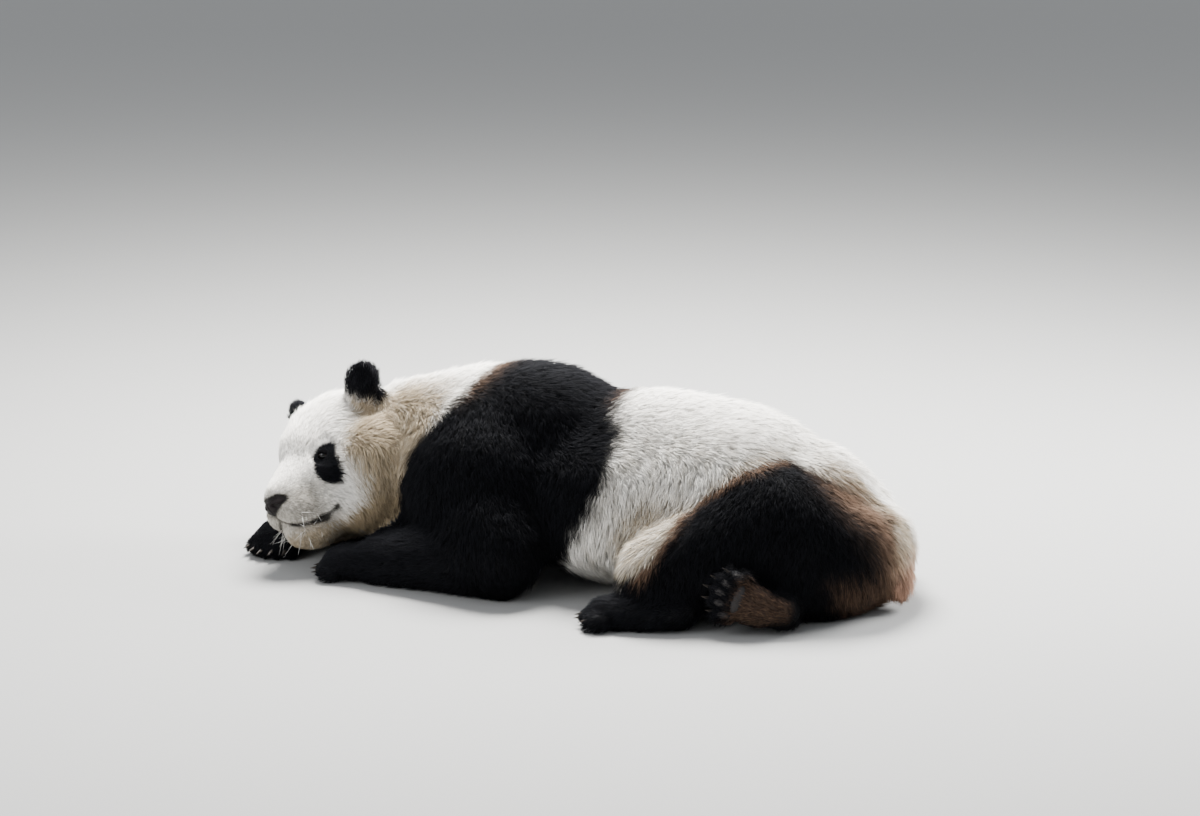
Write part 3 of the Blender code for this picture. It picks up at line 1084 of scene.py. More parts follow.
def embossed(
    tree: bpy.types.NodeTree, shader: bpy.types.Node, height: bpy.types.NodeSocket,
    strength: float, distance: float, inward: bool = False,
) -> None:
    """Gives a shader a fine relief.

    Args:
        tree: the material's nodes.
        shader: its main shader.
        height: the relief's height.
        strength: how much of it shows.
        distance: how deep it is in metres.
        inward: whether high numbers are hollows.
    """
    bump = tree.nodes.new("ShaderNodeBump")
    bump.invert = inward
    dial(bump, {"Strength": strength, "Distance": distance})
    tree.links.new(height, bump.inputs["Height"])
    tree.links.new(bump.outputs["Normal"], shader.inputs["Normal"])


def tinted(colour: Colour, share: float) -> Colour:
    """A colour made darker or lighter."""
    return tuple(c * share for c in colour)


def mixed(
    tree: bpy.types.NodeTree, factor: bpy.types.NodeSocket, a: bpy.types.NodeSocket,
    b: bpy.types.NodeSocket,
) -> bpy.types.NodeSocket:
    """Mixes two colours.

    Args:
        tree: the nodes to add to.
        factor: how much of b.
        a: one colour.
        b: the other colour.

    Returns:
        The mixed colour's socket.
    """
    node = tree.nodes.new("ShaderNodeMix")
    node.data_type = "RGBA"
    for socket, name in ((factor, "Factor"), (a, "A"), (b, "B")):
        tree.links.new(socket, node.inputs[name])
    return node.outputs["Result"]


@dataclass(frozen=True)
class CoatPalette:
    """The coat's colours, from the cleanest white to the deepest black."""

    white: Colour = (0.90, 0.87, 0.815)
    # the greyer hair of the flanks, also used as painted shade on the muzzle, thighs and belly
    flank: Colour = (0.47, 0.44, 0.385)
    ochre: Colour = (0.315, 0.245, 0.155)
    stain: Colour = (0.40, 0.235, 0.165)
    rust: Colour = (0.112, 0.070, 0.047)
    black: Colour = (0.0045, 0.0047, 0.0060)
    lip: Colour = (0.012, 0.010, 0.009)


@dataclass(frozen=True)
class CoatColour:
    """The shared group that turns the masks into the coat's colour."""

    palette: CoatPalette = CoatPalette()
    masks: tuple[str, ...] = ("black", "rust", "stain", "ochre", "grey", "lip", "tone", "tip")
    # painted shade: how dark a tuft's colour gets at its root, as shade deep in the coat
    root_shade: float = 0.72

    def group(self) -> bpy.types.NodeTree:
        """Builds the group once, with a socket for each mask and one for painted shade at the
        roots.

        Returns:
            The node group, which puts out one colour.
        """
        found = bpy.data.node_groups.get("coat_colour")
        if found:
            return found
        tree = bpy.data.node_groups.new("coat_colour", "ShaderNodeTree")
        for name in (*self.masks, "root shade"):
            tree.interface.new_socket(name, in_out="INPUT", socket_type="NodeSocketFloat")
        tree.interface.new_socket("colour", in_out="OUTPUT", socket_type="NodeSocketColor")
        inside, outside = tree.nodes.new("NodeGroupInput"), tree.nodes.new("NodeGroupOutput")

        def plain(name: str) -> bpy.types.NodeSocket:
            """One of the palette's colours as a socket.

            Args:
                name: the colour's name.

            Returns:
                Its socket.
            """
            node = tree.nodes.new("ShaderNodeRGB")
            node.outputs[0].default_value = (*getattr(self.palette, name), 1)
            return node.outputs[0]

        # greyer hair and painted shade both mix the white towards the flank colour
        light = mixed(tree, inside.outputs["grey"], plain("white"), plain("flank"))
        for name in ("ochre", "stain"):
            light = mixed(tree, inside.outputs[name], light, plain(name))
        dark = mixed(tree, inside.outputs["rust"], plain("black"), plain("rust"))
        whole = mixed(tree, inside.outputs["black"], light, dark)
        whole = mixed(tree, inside.outputs["lip"], whole, plain("lip"))
        # painted shade: the colour darkens from each tuft's tip down to its root, as shade inside
        # the coat
        depth = tree.nodes.new("ShaderNodeMapRange")
        depth.inputs["To Max"].default_value = 1.0
        lift = tree.nodes.new("ShaderNodeMath")
        lift.operation = "MULTIPLY"
        scaled = tree.nodes.new("ShaderNodeVectorMath")
        scaled.operation = "SCALE"
        for start, end in (
            (inside.outputs["tip"], depth.inputs["Value"]),
            (inside.outputs["root shade"], depth.inputs["To Min"]),
            (depth.outputs["Result"], lift.inputs[0]),
            (inside.outputs["tone"], lift.inputs[1]),
            (whole, scaled.inputs[0]),
            (lift.outputs[0], scaled.inputs["Scale"]),
            (scaled.outputs[0], outside.inputs["colour"]),
        ):
            tree.links.new(start, end)
        return tree

    def feed(
        self, tree: bpy.types.NodeTree, shader: bpy.types.Node, fixed: dict[str, float]
    ) -> None:
        """Places the group in a material, as its colour.

        Args:
            tree: the material's nodes.
            shader: its main shader.
            fixed: masks that are the same everywhere in this material.
        """
        node = tree.nodes.new("ShaderNodeGroup")
        node.node_tree = self.group()
        dial(node, {"root shade": self.root_shade, **fixed})
        for name in self.masks:
            if name not in fixed:
                tree.links.new(mask_node(tree, name), node.inputs[name])
        tree.links.new(node.outputs["colour"], shader.inputs["Base Color"])


@dataclass(frozen=True)
class CoatFinish:
    """Soft hair in solid tufts."""

    name: str = "coat_hair"
    roughness: float = 0.75
    shine: float = 0.03
    sheen: float = 0.01
    sheen_roughness: float = 0.5

    def material(self) -> bpy.types.Material:
        """The tufts' material.

        Returns:
            The one material that all pieces of coat share.
        """
        found = bpy.data.materials.get(self.name)
        if found:
            return found
        material, tree, shader = new_material(self.name)
        dial(shader, {"Roughness": self.roughness, "Specular IOR Level": self.shine})
        dial(shader, {"Sheen Weight": self.sheen, "Sheen Roughness": self.sheen_roughness})
        CoatColour().feed(tree, shader, {})
        return material


@dataclass(frozen=True)
class SkinFinish:
    """The skin under the hair, coat-coloured with painted shade, with short hair as a bump."""

    name: str = "skin_under_coat"
    roughness: float = 0.8
    shine: float = 0.2
    hair_scale: float = 900.0
    hair_relief: float = 0.001
    hair_strength: float = 0.5
    # painted shade: the skin takes the colour of a tuft's dark root, as the shade between the tufts
    painted_shade_between_tufts: float = 0.10

    def material(self) -> bpy.types.Material:
        """The skin's material.

        Returns:
            The material.
        """
        material, tree, shader = new_material(self.name)
        dial(shader, {"Roughness": self.roughness, "Specular IOR Level": self.shine})
        CoatColour().feed(tree, shader, {"tip": self.painted_shade_between_tufts, "tone": 1.0})
        hair = pattern(tree, "ShaderNodeTexNoise", self.hair_scale, "Fac")
        embossed(tree, shader, hair, self.hair_strength, self.hair_relief)
        return material


@dataclass(frozen=True)
class LeatherFinish:
    """Bare skin: nose leather, lids and pads, with a fine pebbled grain and painted shade."""

    name: str
    colour: Colour
    roughness: float
    grain: float
    depth: float
    shine: float
    lit_ridge: float = 1.35
    hollow: float = 0.6
    strength: float = 0.6

    def material(self) -> bpy.types.Material:
        """The bare skin's material.

        Returns:
            The material.
        """
        material, tree, shader = new_material(self.name)
        dial(shader, {"Roughness": self.roughness, "Specular IOR Level": self.shine})
        pebbles = pattern(tree, "ShaderNodeTexVoronoi", self.grain, "Distance")
        # painted light and shade: the pebbles' tops paler, the hollows between them darker
        ends = ((0.0, tinted(self.colour, self.lit_ridge)), (1.0, tinted(self.colour, self.hollow)))
        coloured(tree, shader, pebbles, ends)
        embossed(tree, shader, pebbles, self.strength, self.depth, inward=True)
        return material


LID_SKIN = LeatherFinish("lid_skin", (0.0016, 0.0015, 0.0018), 0.85, 900.0, 0.0003, 0.01)
NOSE_LEATHER = LeatherFinish("nose_leather", (0.0075, 0.0054, 0.0054), 0.55, 620.0, 0.0007, 0.10)
PAD_LEATHER = LeatherFinish("pad_leather", (0.016, 0.014, 0.014), 0.65, 420.0, 0.0008, 0.2)


@dataclass(frozen=True)
class HornFinish:
    """Claw horn: dark, with paler streaks."""

    name: str = "claw_horn"
    colour: Colour = (0.022, 0.018, 0.015)
    roughness: float = 0.42
    shine: float = 0.15
    streak_scale: float = 160.0
    dark_end: tuple[float, float] = (0.35, 0.6)
    pale_end: tuple[float, float] = (0.7, 1.9)

    def material(self) -> bpy.types.Material:
        """The claws' material.

        Returns:
            The material.
        """
        material, tree, shader = new_material(self.name)
        dial(shader, {"Roughness": self.roughness, "Specular IOR Level": self.shine})
        streaks = pattern(tree, "ShaderNodeTexNoise", self.streak_scale, "Fac")
        ends = ((at, tinted(self.colour, share)) for at, share in (self.dark_end, self.pale_end))
        coloured(tree, shader, streaks, tuple(ends))
        return material


@dataclass(frozen=True)
class EyeFinish:
    """A wet brown-black eye, with the iris as a faint ring round the pupil."""

    name: str = "wet_eye"
    white: Colour = (0.010, 0.007, 0.006)
    iris: Colour = (0.030, 0.013, 0.007)
    pupil: Colour = (0.002, 0.002, 0.002)
    iris_edge: tuple[float, float] = (0.40, 0.46)
    pupil_edge: tuple[float, float] = (0.66, 0.72)
    roughness: float = 0.06
    shine: float = 0.22
    wetness: float = 0.1
    wet_roughness: float = 0.02

    def material(self) -> bpy.types.Material:
        """The eyes' material.

        Returns:
            The material.
        """
        material, tree, shader = new_material(self.name)
        dial(shader, {"Roughness": self.roughness, "Specular IOR Level": self.shine})
        dial(shader, {"Coat Weight": self.wetness, "Coat Roughness": self.wet_roughness})
        coloured(tree, shader, mask_node(tree, "front"), (
            (0.0, self.white), (self.iris_edge[0], self.white), (self.iris_edge[1], self.iris),
            (self.pupil_edge[0], self.iris), (self.pupil_edge[1], self.pupil), (1.0, self.pupil),
        ))
        return material


# ---------------------------------------------------------------- the skin


@dataclass
class Skin:
    """One closed skin under the whole coat, sunk below the solids by the coat's depth."""

    coarse: float = 0.006
    fine: float = 0.0032
    swell: float = 0.0015
    weld: float = 1e-5
    eye_socket: float = 0.0195
    socket_segments: tuple[int, int] = (24, 16)
    toe_end: float = 0.024
    toe_tilt: float = 8.0
    toe_radii: Place = (0.027, 0.112, 0.0185)
    toe_segments: tuple[int, int] = (16, 10)
    iron_rounds: int = 45
    head_rounds: int = 8
    last_rounds: int = 3
    near_floor: Ramp = Ramp(0.03, 0.005)
    facing_down: Ramp = Ramp(-0.5, -0.9)
    sole_depth: float = 0.008
    mouth_depth: float = 0.0055
    mouth_width: float = 0.0042
    lip_rise: float = 0.0022
    lip_place: float = 0.010
    lip_width: float = 0.0055
    lip_front: float = 0.1
    ear_middle: Place = (-0.018, 0.152, 0.142)
    ear_hollow: float = 0.012
    ear_rim: Ramp = Ramp(0.046, 0.012)
    ear_facing: Ramp = Ramp(0.2, 0.8)
    ear_reach: float = 0.05
    triangles: int = 170_000
    fine_front: Ramp = Ramp(0.0, 0.10)
    fine_reach: Ramp = Ramp(0.30, 0.25)
    fineness: float = 4.0
    floor_gap: float = 0.0008
    blur_rounds: int = 5
    comb: Comb = Comb()
    kept: tuple[str, ...] = ("eye", "nose", "claw")

    def flesh(self) -> list[str]:
        """The names of the solids that the skin replaces."""
        return [n for n in sorted(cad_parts) if not any(word in n for word in self.kept)]

    def gathered(self) -> bpy.types.Object:
        """All the solids of flesh as one object, each grown a little so that they overlap.

        Returns:
            The object, ready to be melted into one.
        """
        whole = bmesh.new()
        for name in self.flesh():
            form = bmesh.new()
            form.from_mesh(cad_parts[name].data)
            bmesh.ops.remove_doubles(form, verts=form.verts, dist=self.weld)
            form.normal_update()
            for v in form.verts:
                v.co += v.normal * self.swell
            join(whole, form)
        for eye in eye_places():
            add_ball(whole, self.socket_segments, Matrix.Translation(eye), self.eye_socket)
        return from_bmesh("skin", whole)

    def toes(self, form: bpy.types.Object) -> None:
        """Adds the toes' own flesh, which the ironing takes away.

        Args:
            form: the skin so far, changed by this.
        """
        whole = bmesh.new()
        whole.from_mesh(form.data)
        long, wide, high = self.toe_radii
        for foot in FEET:
            size = Matrix.Diagonal((long, foot.width * wide, high, 1))
            for place, splay in foot.toes(foot.length - self.toe_end):
                spot = foot.matrix() @ Matrix.Translation(place)
                spot = spot @ turned(0, self.toe_tilt, splay)
                add_ball(whole, self.toe_segments, spot @ size)
        whole.to_mesh(form.data)
        whole.free()

    def remeshed(self, form: bpy.types.Object, voxel: float, rounds: int) -> bpy.types.Object:
        """Melts an object into one even mesh and softens it.

        Args:
            form: the object, changed by this.
            voxel: the size of the new mesh's faces.
            rounds: how often it is smoothed.

        Returns:
            The same object.
        """
        melt = form.modifiers.new("melt", "REMESH")
        melt.mode = "VOXEL"
        melt.voxel_size = voxel
        if rounds:
            soften_with(form, rounds)
        return settled(form)

    def iron(self, form: bpy.types.Object) -> None:
        """Irons the facets out of the body, gently on head and paws.

        Args:
            form: the skin so far, changed by this.
        """
        lie = self.comb.lie(places_of(form.data), normals_of(form.data))
        gentle = [i for i, p in enumerate(PARTS)
                  if p.name == "head" or any(word in p.name for word in ("_ear", "paw", "foot"))]
        body = form.vertex_groups.new(name="body")
        body.add(np.flatnonzero(~np.isin(lie.part, gentle)).tolist(), 1.0, "REPLACE")
        soften_with(form, self.iron_rounds, "body")
        soften_with(form, self.head_rounds)
        settled(form)

    def sink(self, form: bpy.types.Object) -> None:
        """Moves the skin in by the coat's depth.

        Args:
            form: the skin so far, changed by this.
        """
        rows, normals = places_of(form.data), normals_of(form.data)
        depth = self.comb.lie(rows, normals).depth
        under = self.near_floor(rows[:, 2]) * self.facing_down(normals[:, 2])
        depth += under * (self.sole_depth - depth)
        rows -= normals * depth[:, None]
        put_places(form.data, rows)

    def carve(self, form: bpy.types.Object) -> None:
        """Presses the mouth and the hollows of the ears into the skin, and raises the lips.

        Args:
            form: the skin so far, changed by this.
        """
        rows, normals = places_of(form.data), normals_of(form.data)
        at = HEAD.local(rows)
        near = distance_to_mouth(at)
        press = self.mouth_depth * hump(near, 0.0, self.mouth_width)
        lips = self.lip_rise * hump(near, self.lip_place, self.lip_width)
        rows -= normals * (press - lips * (at[:, 0] > self.lip_front))[:, None]
        facing = self.ear_facing(normals @ np.array(HEAD.matrix())[:3, 0] / HEAD.scale)
        for side in (1, -1):
            off = at - np.array(self.ear_middle) * (1, side, 1)
            hollow = self.ear_hollow * self.ear_rim(np.linalg.norm(off[:, 1:], axis=1)) * facing
            rows -= normals * (hollow * (np.abs(off[:, 0]) < self.ear_reach))[:, None]
        put_places(form.data, rows)

    def thin_out(self, form: bpy.types.Object) -> None:
        """Brings the skin to its number of triangles, keeping the face fine.

        Args:
            form: the skin so far, changed by this.
        """
        at = HEAD.local(places_of(form.data))
        face = self.fine_front(at[:, 0]) * self.fine_reach(np.linalg.norm(at, axis=1))
        group = form.vertex_groups.new(name="fine")
        for level in (0.5, 1.0):
            pick = np.flatnonzero((face > level - 0.25) & (face <= level + 0.25))
            group.add(pick.tolist(), level, "REPLACE")
        thin = form.modifiers.new("thin", "DECIMATE")
        thin.vertex_group = "fine"
        thin.invert_vertex_group = True
        thin.vertex_group_factor = self.fineness
        thin.ratio = min(1.0, self.triangles / (2.0 * len(form.data.polygons)))
        settled(form)
        form.vertex_groups.clear()

    def belonging(self, points: np.ndarray) -> dict[str, np.ndarray]:
        """Which solid of flesh each place belongs to.

        Args:
            points: places as rows.

        Returns:
            For each solid's name, 1 where the place is its own and 0 elsewhere.
        """
        corners, faces, owner, names = [], [], [], self.flesh()
        for i, name in enumerate(names):
            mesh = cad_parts[name].data
            shift = len(corners)
            corners += [v.co.copy() for v in mesh.vertices]
            faces += [tuple(shift + k for k in p.vertices) for p in mesh.polygons]
            owner += [i] * len(mesh.polygons)
        tree = BVHTree.FromPolygons(corners, faces)
        home = np.array([owner[tree.find_nearest(Vector(p))[2]] for p in points])
        return {name: (home == i).astype(float) for i, name in enumerate(names)}

    def soften(self, mesh: bpy.types.Mesh, values: np.ndarray) -> np.ndarray:
        """Evens out numbers over neighbouring vertices.

        Args:
            mesh: the mesh whose edges join the vertices.
            values: one number per vertex.

        Returns:
            The evened numbers.
        """
        ends = np.empty(len(mesh.edges) * 2, np.int32)
        mesh.edges.foreach_get("vertices", ends)
        a, b = ends.reshape(-1, 2).T
        count = np.bincount(ends, minlength=len(values))
        for _ in range(self.blur_rounds):
            total = np.bincount(a, values[b], len(values)) + np.bincount(b, values[a], len(values))
            values = 0.5 * values + 0.5 * total / np.maximum(count, 1)
        return values

    def build(self) -> bpy.types.Object:
        """Builds and dresses the skin.

        Returns:
            The skin, with the markings stored as masks.
        """
        form = self.remeshed(self.gathered(), self.coarse, 0)
        self.iron(form)
        self.sink(form)
        LOG.info("skin ironed and sunk")
        self.toes(form)
        self.remeshed(form, self.fine, self.last_rounds)
        self.carve(form)
        self.thin_out(form)
        mesh = form.data
        rows = places_of(mesh)
        rows[:, 2] = np.maximum(rows[:, 2], self.floor_gap)
        put_places(mesh, rows)
        shade(mesh)
        nodes = {n: self.soften(mesh, v) for n, v in self.belonging(rows).items()}
        for name, values in Markings().masks(rows, nodes).items():
            put_mask(mesh, name, values)
        mesh.materials.clear()
        mesh.materials.append(SkinFinish().material())
        form.name = mesh.name = "skin"
        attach(form, BODY)
        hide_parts(*self.flesh())
        return form


# ---------------------------------------------------------------- the coat


@dataclass
class Roots:
    """Where tufts stand: places, normals, the coat's lie and the skin's masks there."""

    places: np.ndarray
    normals: np.ndarray
    lie: Lie
    masks: dict[str, np.ndarray]

    def pick(self, chosen: np.ndarray) -> "Roots":
        """Picks some of the roots.

        Args:
            chosen: a mask or a list of indices.

        Returns:
            Those roots.
        """
        lie = Lie(*[values[chosen] for values in vars(self.lie).values()])
        masks = {name: values[chosen] for name, values in self.masks.items()}
        return Roots(self.places[chosen], self.normals[chosen], lie, masks)


@dataclass(frozen=True)
class Tuft:
    """A tuft's form: a closed spindle of six triangles, bent at its middle.

    rise is in degrees, roll in radians, root_depth and floor_gap in metres, and the rest are
    shares. Of swing and each spread the first goes by the clump and the second by the tuft.
    """

    faces: tuple[tuple[int, int, int], ...] = (
        (0, 2, 1), (0, 3, 2), (0, 1, 3), (4, 1, 2), (4, 2, 3), (4, 3, 1)
    )
    spots: tuple[tuple[float, float], ...] = (
        (0.5, 0.0), (0.0, 0.42), (1.0, 0.42), (0.5, 0.36), (0.5, 1.0)
    )
    heights: tuple[float, ...] = (0.0, 0.45, 0.45, 0.45, 1.0)
    rise: float = 31.0
    rise_below: float = 1.35
    rise_above: float = 0.55
    bend: tuple[float, float] = (0.42, 0.58)
    swing: tuple[float, float] = (0.13, 0.17)
    rise_spread: tuple[float, float] = (0.10, 0.16)
    length_spread: tuple[float, float] = (0.08, 0.13)
    length_limits: tuple[float, float] = (0.5, 1.5)
    clump_pull: float = 0.28
    tuft_pull: tuple[float, float] = (0.5, 1.1)
    far_gap: float = 0.7
    far_pull: float = 0.3
    middle_pull: float = 0.35
    roll: float = 0.5
    width_range: tuple[float, float] = (0.75, 1.25)
    flatness: float = 0.6
    root_depth: float = 0.0015
    floor_gap: float = 0.0006
    tone_spread: tuple[float, float] = (0.04, 0.06)
    grey_tones: float = 3.2
    black_tones: float = 2.0
    tone_limits: tuple[float, float] = (0.6, 1.25)


@dataclass
class Coat:
    """Tufts combed over the skin, in clumps."""

    skin: bpy.types.Object
    crowding: float = 1.0
    most: int = 245_000
    piece_limit: int = 33_000
    clump_every: int = 12
    patch: float = 0.003
    patch_margin: float = 0.01
    patch_spread: float = 0.97
    own_normal: float = 0.7
    mask_spread: float = 0.22
    underside: Ramp = Ramp(0.02, 0.006)
    underside_thinning: float = 0.6
    mouth_bare: float = 0.0038
    eye_bare: float = 0.0146
    nose_bare: float = 1.05
    tuft: Tuft = Tuft()
    comb: Comb = Comb()
    rng: np.random.Generator = field(default_factory=lambda: np.random.default_rng(SEED))

    def scatter(self) -> Roots:
        """Spreads roots evenly over the skin, as many as the coat's crowding asks.

        Returns:
            The roots.
        """
        mesh = self.skin.data
        mesh.calc_loop_triangles()
        corners = np.empty(len(mesh.loop_triangles) * 3, np.int32)
        mesh.loop_triangles.foreach_get("vertices", corners)
        corners = corners.reshape(-1, 3)
        rows, normals = places_of(mesh), normals_of(mesh)
        lie = self.comb.lie(rows, normals)
        p = rows[corners]
        area = np.linalg.norm(np.cross(p[:, 1] - p[:, 0], p[:, 2] - p[:, 0]), axis=1) / 2
        crowd = lie.crowd[corners].mean(1) * self.crowding
        hidden = self.underside(p[:, :, 2].mean(1)) * self.underside_thinning
        sums = np.cumsum(area * crowd * (1 - hidden))
        LOG.info("skin area %.2f m2, tufts asked %d", area.sum(), sums[-1])
        number = int(min(sums[-1], self.most))
        marks = (np.arange(number) + self.rng.random(number)) * sums[-1] / number
        face = np.minimum(np.searchsorted(sums, marks), len(area) - 1)
        share = self.rng.dirichlet((1, 1, 1), number)
        picked = corners[face]
        places = np.einsum("ij,ijk->ik", share, rows[picked])
        facing = unit(np.einsum("ij,ijk->ik", share, normals[picked]))
        masks = {}
        for layer in mesh.attributes:
            if layer.data_type == "FLOAT" and layer.domain == "POINT":
                values = np.empty(len(rows), np.float32)
                layer.data.foreach_get("value", values)
                masks[layer.name] = np.einsum("ij,ij->i", share, values[picked].astype(float))
        roots = Roots(places, facing, self.comb.lie(places, facing), masks)
        return roots.pick(~self.bare(roots))

    def bare(self, roots: Roots) -> np.ndarray:
        """Which roots fall where no hair grows: eyes, nose and lips.

        Args:
            roots: the roots.

        Returns:
            Whether each root stands on bare skin.
        """
        at = HEAD.local(roots.places)
        gone = (distance_to_mouth(at) < self.mouth_bare) | (nose_reach(at) < self.nose_bare)
        for eye in eye_places():
            gone |= np.linalg.norm(roots.places - np.array(eye), axis=1) < self.eye_bare
        return gone

    def clumped(self, roots: Roots) -> tuple[np.ndarray, np.ndarray]:
        """Gathers tufts into clumps.

        Args:
            roots: the tufts' roots.

        Returns:
            For each tuft the index of its clump's middle tuft, and that list of middles.
        """
        number = len(roots.places)
        middles = self.rng.choice(number, max(1, number // self.clump_every), replace=False)
        tree = KDTree(len(middles))
        for k, i in enumerate(middles):
            tree.insert(roots.places[i], k)
        tree.balance()
        home = np.array([tree.find(p)[1] for p in roots.places])
        return home, middles

    def shape(self, roots: Roots) -> tuple[np.ndarray, np.ndarray]:
        """Works out each tuft's five corners: its root, three round its middle, and its tip.

        Args:
            roots: the tufts' roots.

        Returns:
            Places, five for each tuft, and the tufts' tones.
        """
        rng, number, lie, tuft = self.rng, len(roots.places), roots.lie, self.tuft
        home, middles = self.clumped(roots)
        clumps = len(middles)

        def varied(spreads: tuple[float, float]) -> np.ndarray:
            """Random numbers round 0 that clumps share in part."""
            shared = rng.normal(0, spreads[0], clumps)[home]
            return shared + rng.normal(0, spreads[1], number)

        swing = varied(tuft.swing)
        angle = np.radians(tuft.rise * (1 + varied(tuft.rise_spread)))
        long = lie.length * (1 + varied(tuft.length_spread)).clip(*tuft.length_limits)
        flow = unit(lie.flow + swing[:, None] * np.cross(roots.normals, lie.flow))
        low, high = (
            np.cos(angle * share)[:, None] * flow + np.sin(angle * share)[:, None] * roots.normals
            for share in (tuft.rise_below, tuft.rise_above)
        )
        middle = roots.places + low * (long * tuft.bend[0])[:, None]
        tip = middle + high * (long * tuft.bend[1])[:, None]
        pull = rng.uniform(0.0, tuft.clump_pull, clumps)[home]
        pull = (pull * rng.uniform(*tuft.tuft_pull, number))[:, None]
        gap = tip[middles][home] - tip
        pull[np.linalg.norm(gap, axis=1) > tuft.far_gap * long] *= tuft.far_pull
        tip = tip + pull * gap
        middle = middle + tuft.middle_pull * pull * gap
        axis = unit(tip - roots.places)
        over = unit(roots.normals - np.sum(roots.normals * axis, axis=1)[:, None] * axis)
        beside = np.cross(over, axis)
        roll = rng.uniform(-tuft.roll, tuft.roll, number)
        half = lie.width * rng.uniform(*tuft.width_range, number) / 2
        corners = np.empty((number, len(tuft.spots), 3))
        corners[:, 0] = roots.places - roots.normals * tuft.root_depth
        for k in range(3):
            turn = roll + math.radians(-30 + 120 * k)
            corners[:, 1 + k] = middle + half[:, None] * (
                np.cos(turn)[:, None] * beside + tuft.flatness * np.sin(turn)[:, None] * over
            )
        corners[:, 4] = tip
        corners[:, :, 2] = np.maximum(corners[:, :, 2], tuft.floor_gap)
        grey, black = tuft.grey_tones * roots.masks["grey"], tuft.black_tones * roots.masks["black"]
        tone = 1 + (1 + np.maximum(grey, black)) * varied(tuft.tone_spread)
        return corners, tone.clip(*tuft.tone_limits)

    def patches(self, roots: Roots, axis: Part) -> np.ndarray:
        """Where each tuft lies on the unrolled skin.

        Args:
            roots: the tufts' roots.
            axis: the part round whose middle line the skin is unrolled.

        Returns:
            Two numbers for each tuft, from 0 to 1.
        """
        start, end = np.array(axis.start), np.array(axis.end)
        way = (end - start) / np.linalg.norm(end - start)
        off = roots.places - start
        along = off @ way
        low = np.cross(way, (0, 0, 1.0)) if abs(way[2]) < 0.9 else np.cross(way, (0, 1.0, 0))
        low /= np.linalg.norm(low)
        around = np.arctan2(off @ np.cross(way, low), off @ low) / (2 * math.pi) + 0.5
        span = max(np.ptp(along), 1e-6)
        spots = np.column_stack([around, (along - along.min()) / span])
        return self.patch_margin + self.patch_spread * spots

    def piece(self, name: str, roots: Roots, axis: Part) -> bpy.types.Object:
        """Makes one piece of coat.

        Args:
            name: the piece's name.
            roots: its tufts' roots.
            axis: the part round whose middle line it is unrolled.

        Returns:
            The finished piece.
        """
        number, each = len(roots.places), len(self.tuft.spots)
        corners, tone = self.shape(roots)
        one = np.array(self.tuft.faces)
        faces = (one[None] + each * np.arange(number)[:, None, None]).reshape(-1)
        mesh = bpy.data.meshes.new(name)
        mesh.vertices.add(number * each)
        put_places(mesh, corners)
        mesh.loops.add(len(faces))
        mesh.loops.foreach_set("vertex_index", faces.astype(np.int32))
        mesh.polygons.add(number * len(one))
        mesh.polygons.foreach_set("loop_start", np.arange(0, len(faces), 3, dtype=np.int32))
        shade(mesh)
        mesh.update(calc_edges=True)
        bent = normals_of(mesh) * self.own_normal + np.repeat(roots.normals, each, axis=0)
        mesh.normals_split_custom_set_from_vertices(unit(bent))
        on_tuft = self.patch * (np.array(self.tuft.spots)[None] - 0.5)
        spots = self.patches(roots, axis)[:, None, :] + on_tuft
        layer = mesh.uv_layers.new(name="OFBake")
        layer.data.foreach_set("uv", spots.reshape(-1, 2)[faces].astype(np.float32).ravel())
        for key, values in roots.masks.items():
            edge = 4 * values * (1 - values)
            uneven = values + edge * self.rng.normal(0, self.mask_spread, number)
            put_mask(mesh, key, np.repeat(uneven.clip(0, 1), each))
        put_mask(mesh, "tone", np.repeat(tone, each))
        put_mask(mesh, "tip", np.tile(self.tuft.heights, number))
        mesh.materials.append(CoatFinish().material())
        made = as_object(name, mesh)
        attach(made, BODY)
        return made

    def build(self) -> list[bpy.types.Object]:
        """Scatters the tufts and makes the coat's pieces, part by part.

        Returns:
            The pieces.
        """
        roots = self.scatter()
        made = []
        for i, part in enumerate(PARTS):
            own = np.flatnonzero(roots.lie.part == i)
            cuts = max(1, math.ceil(len(own) / self.piece_limit))
            line = np.array(part.end) - np.array(part.start)
            order = own[np.argsort(roots.places[own] @ line)]
            for k, share in enumerate(np.array_split(order, cuts)):
                name = f"coat_{part.name}" + (f"_{k + 1}" if cuts > 1 else "")
                made.append(self.piece(name, roots.pick(share), part))
                LOG.info("%s: %d tufts", name, len(share))
        return made


# ---------------------------------------------------------------- eyes, nose, claws, pads, whiskers


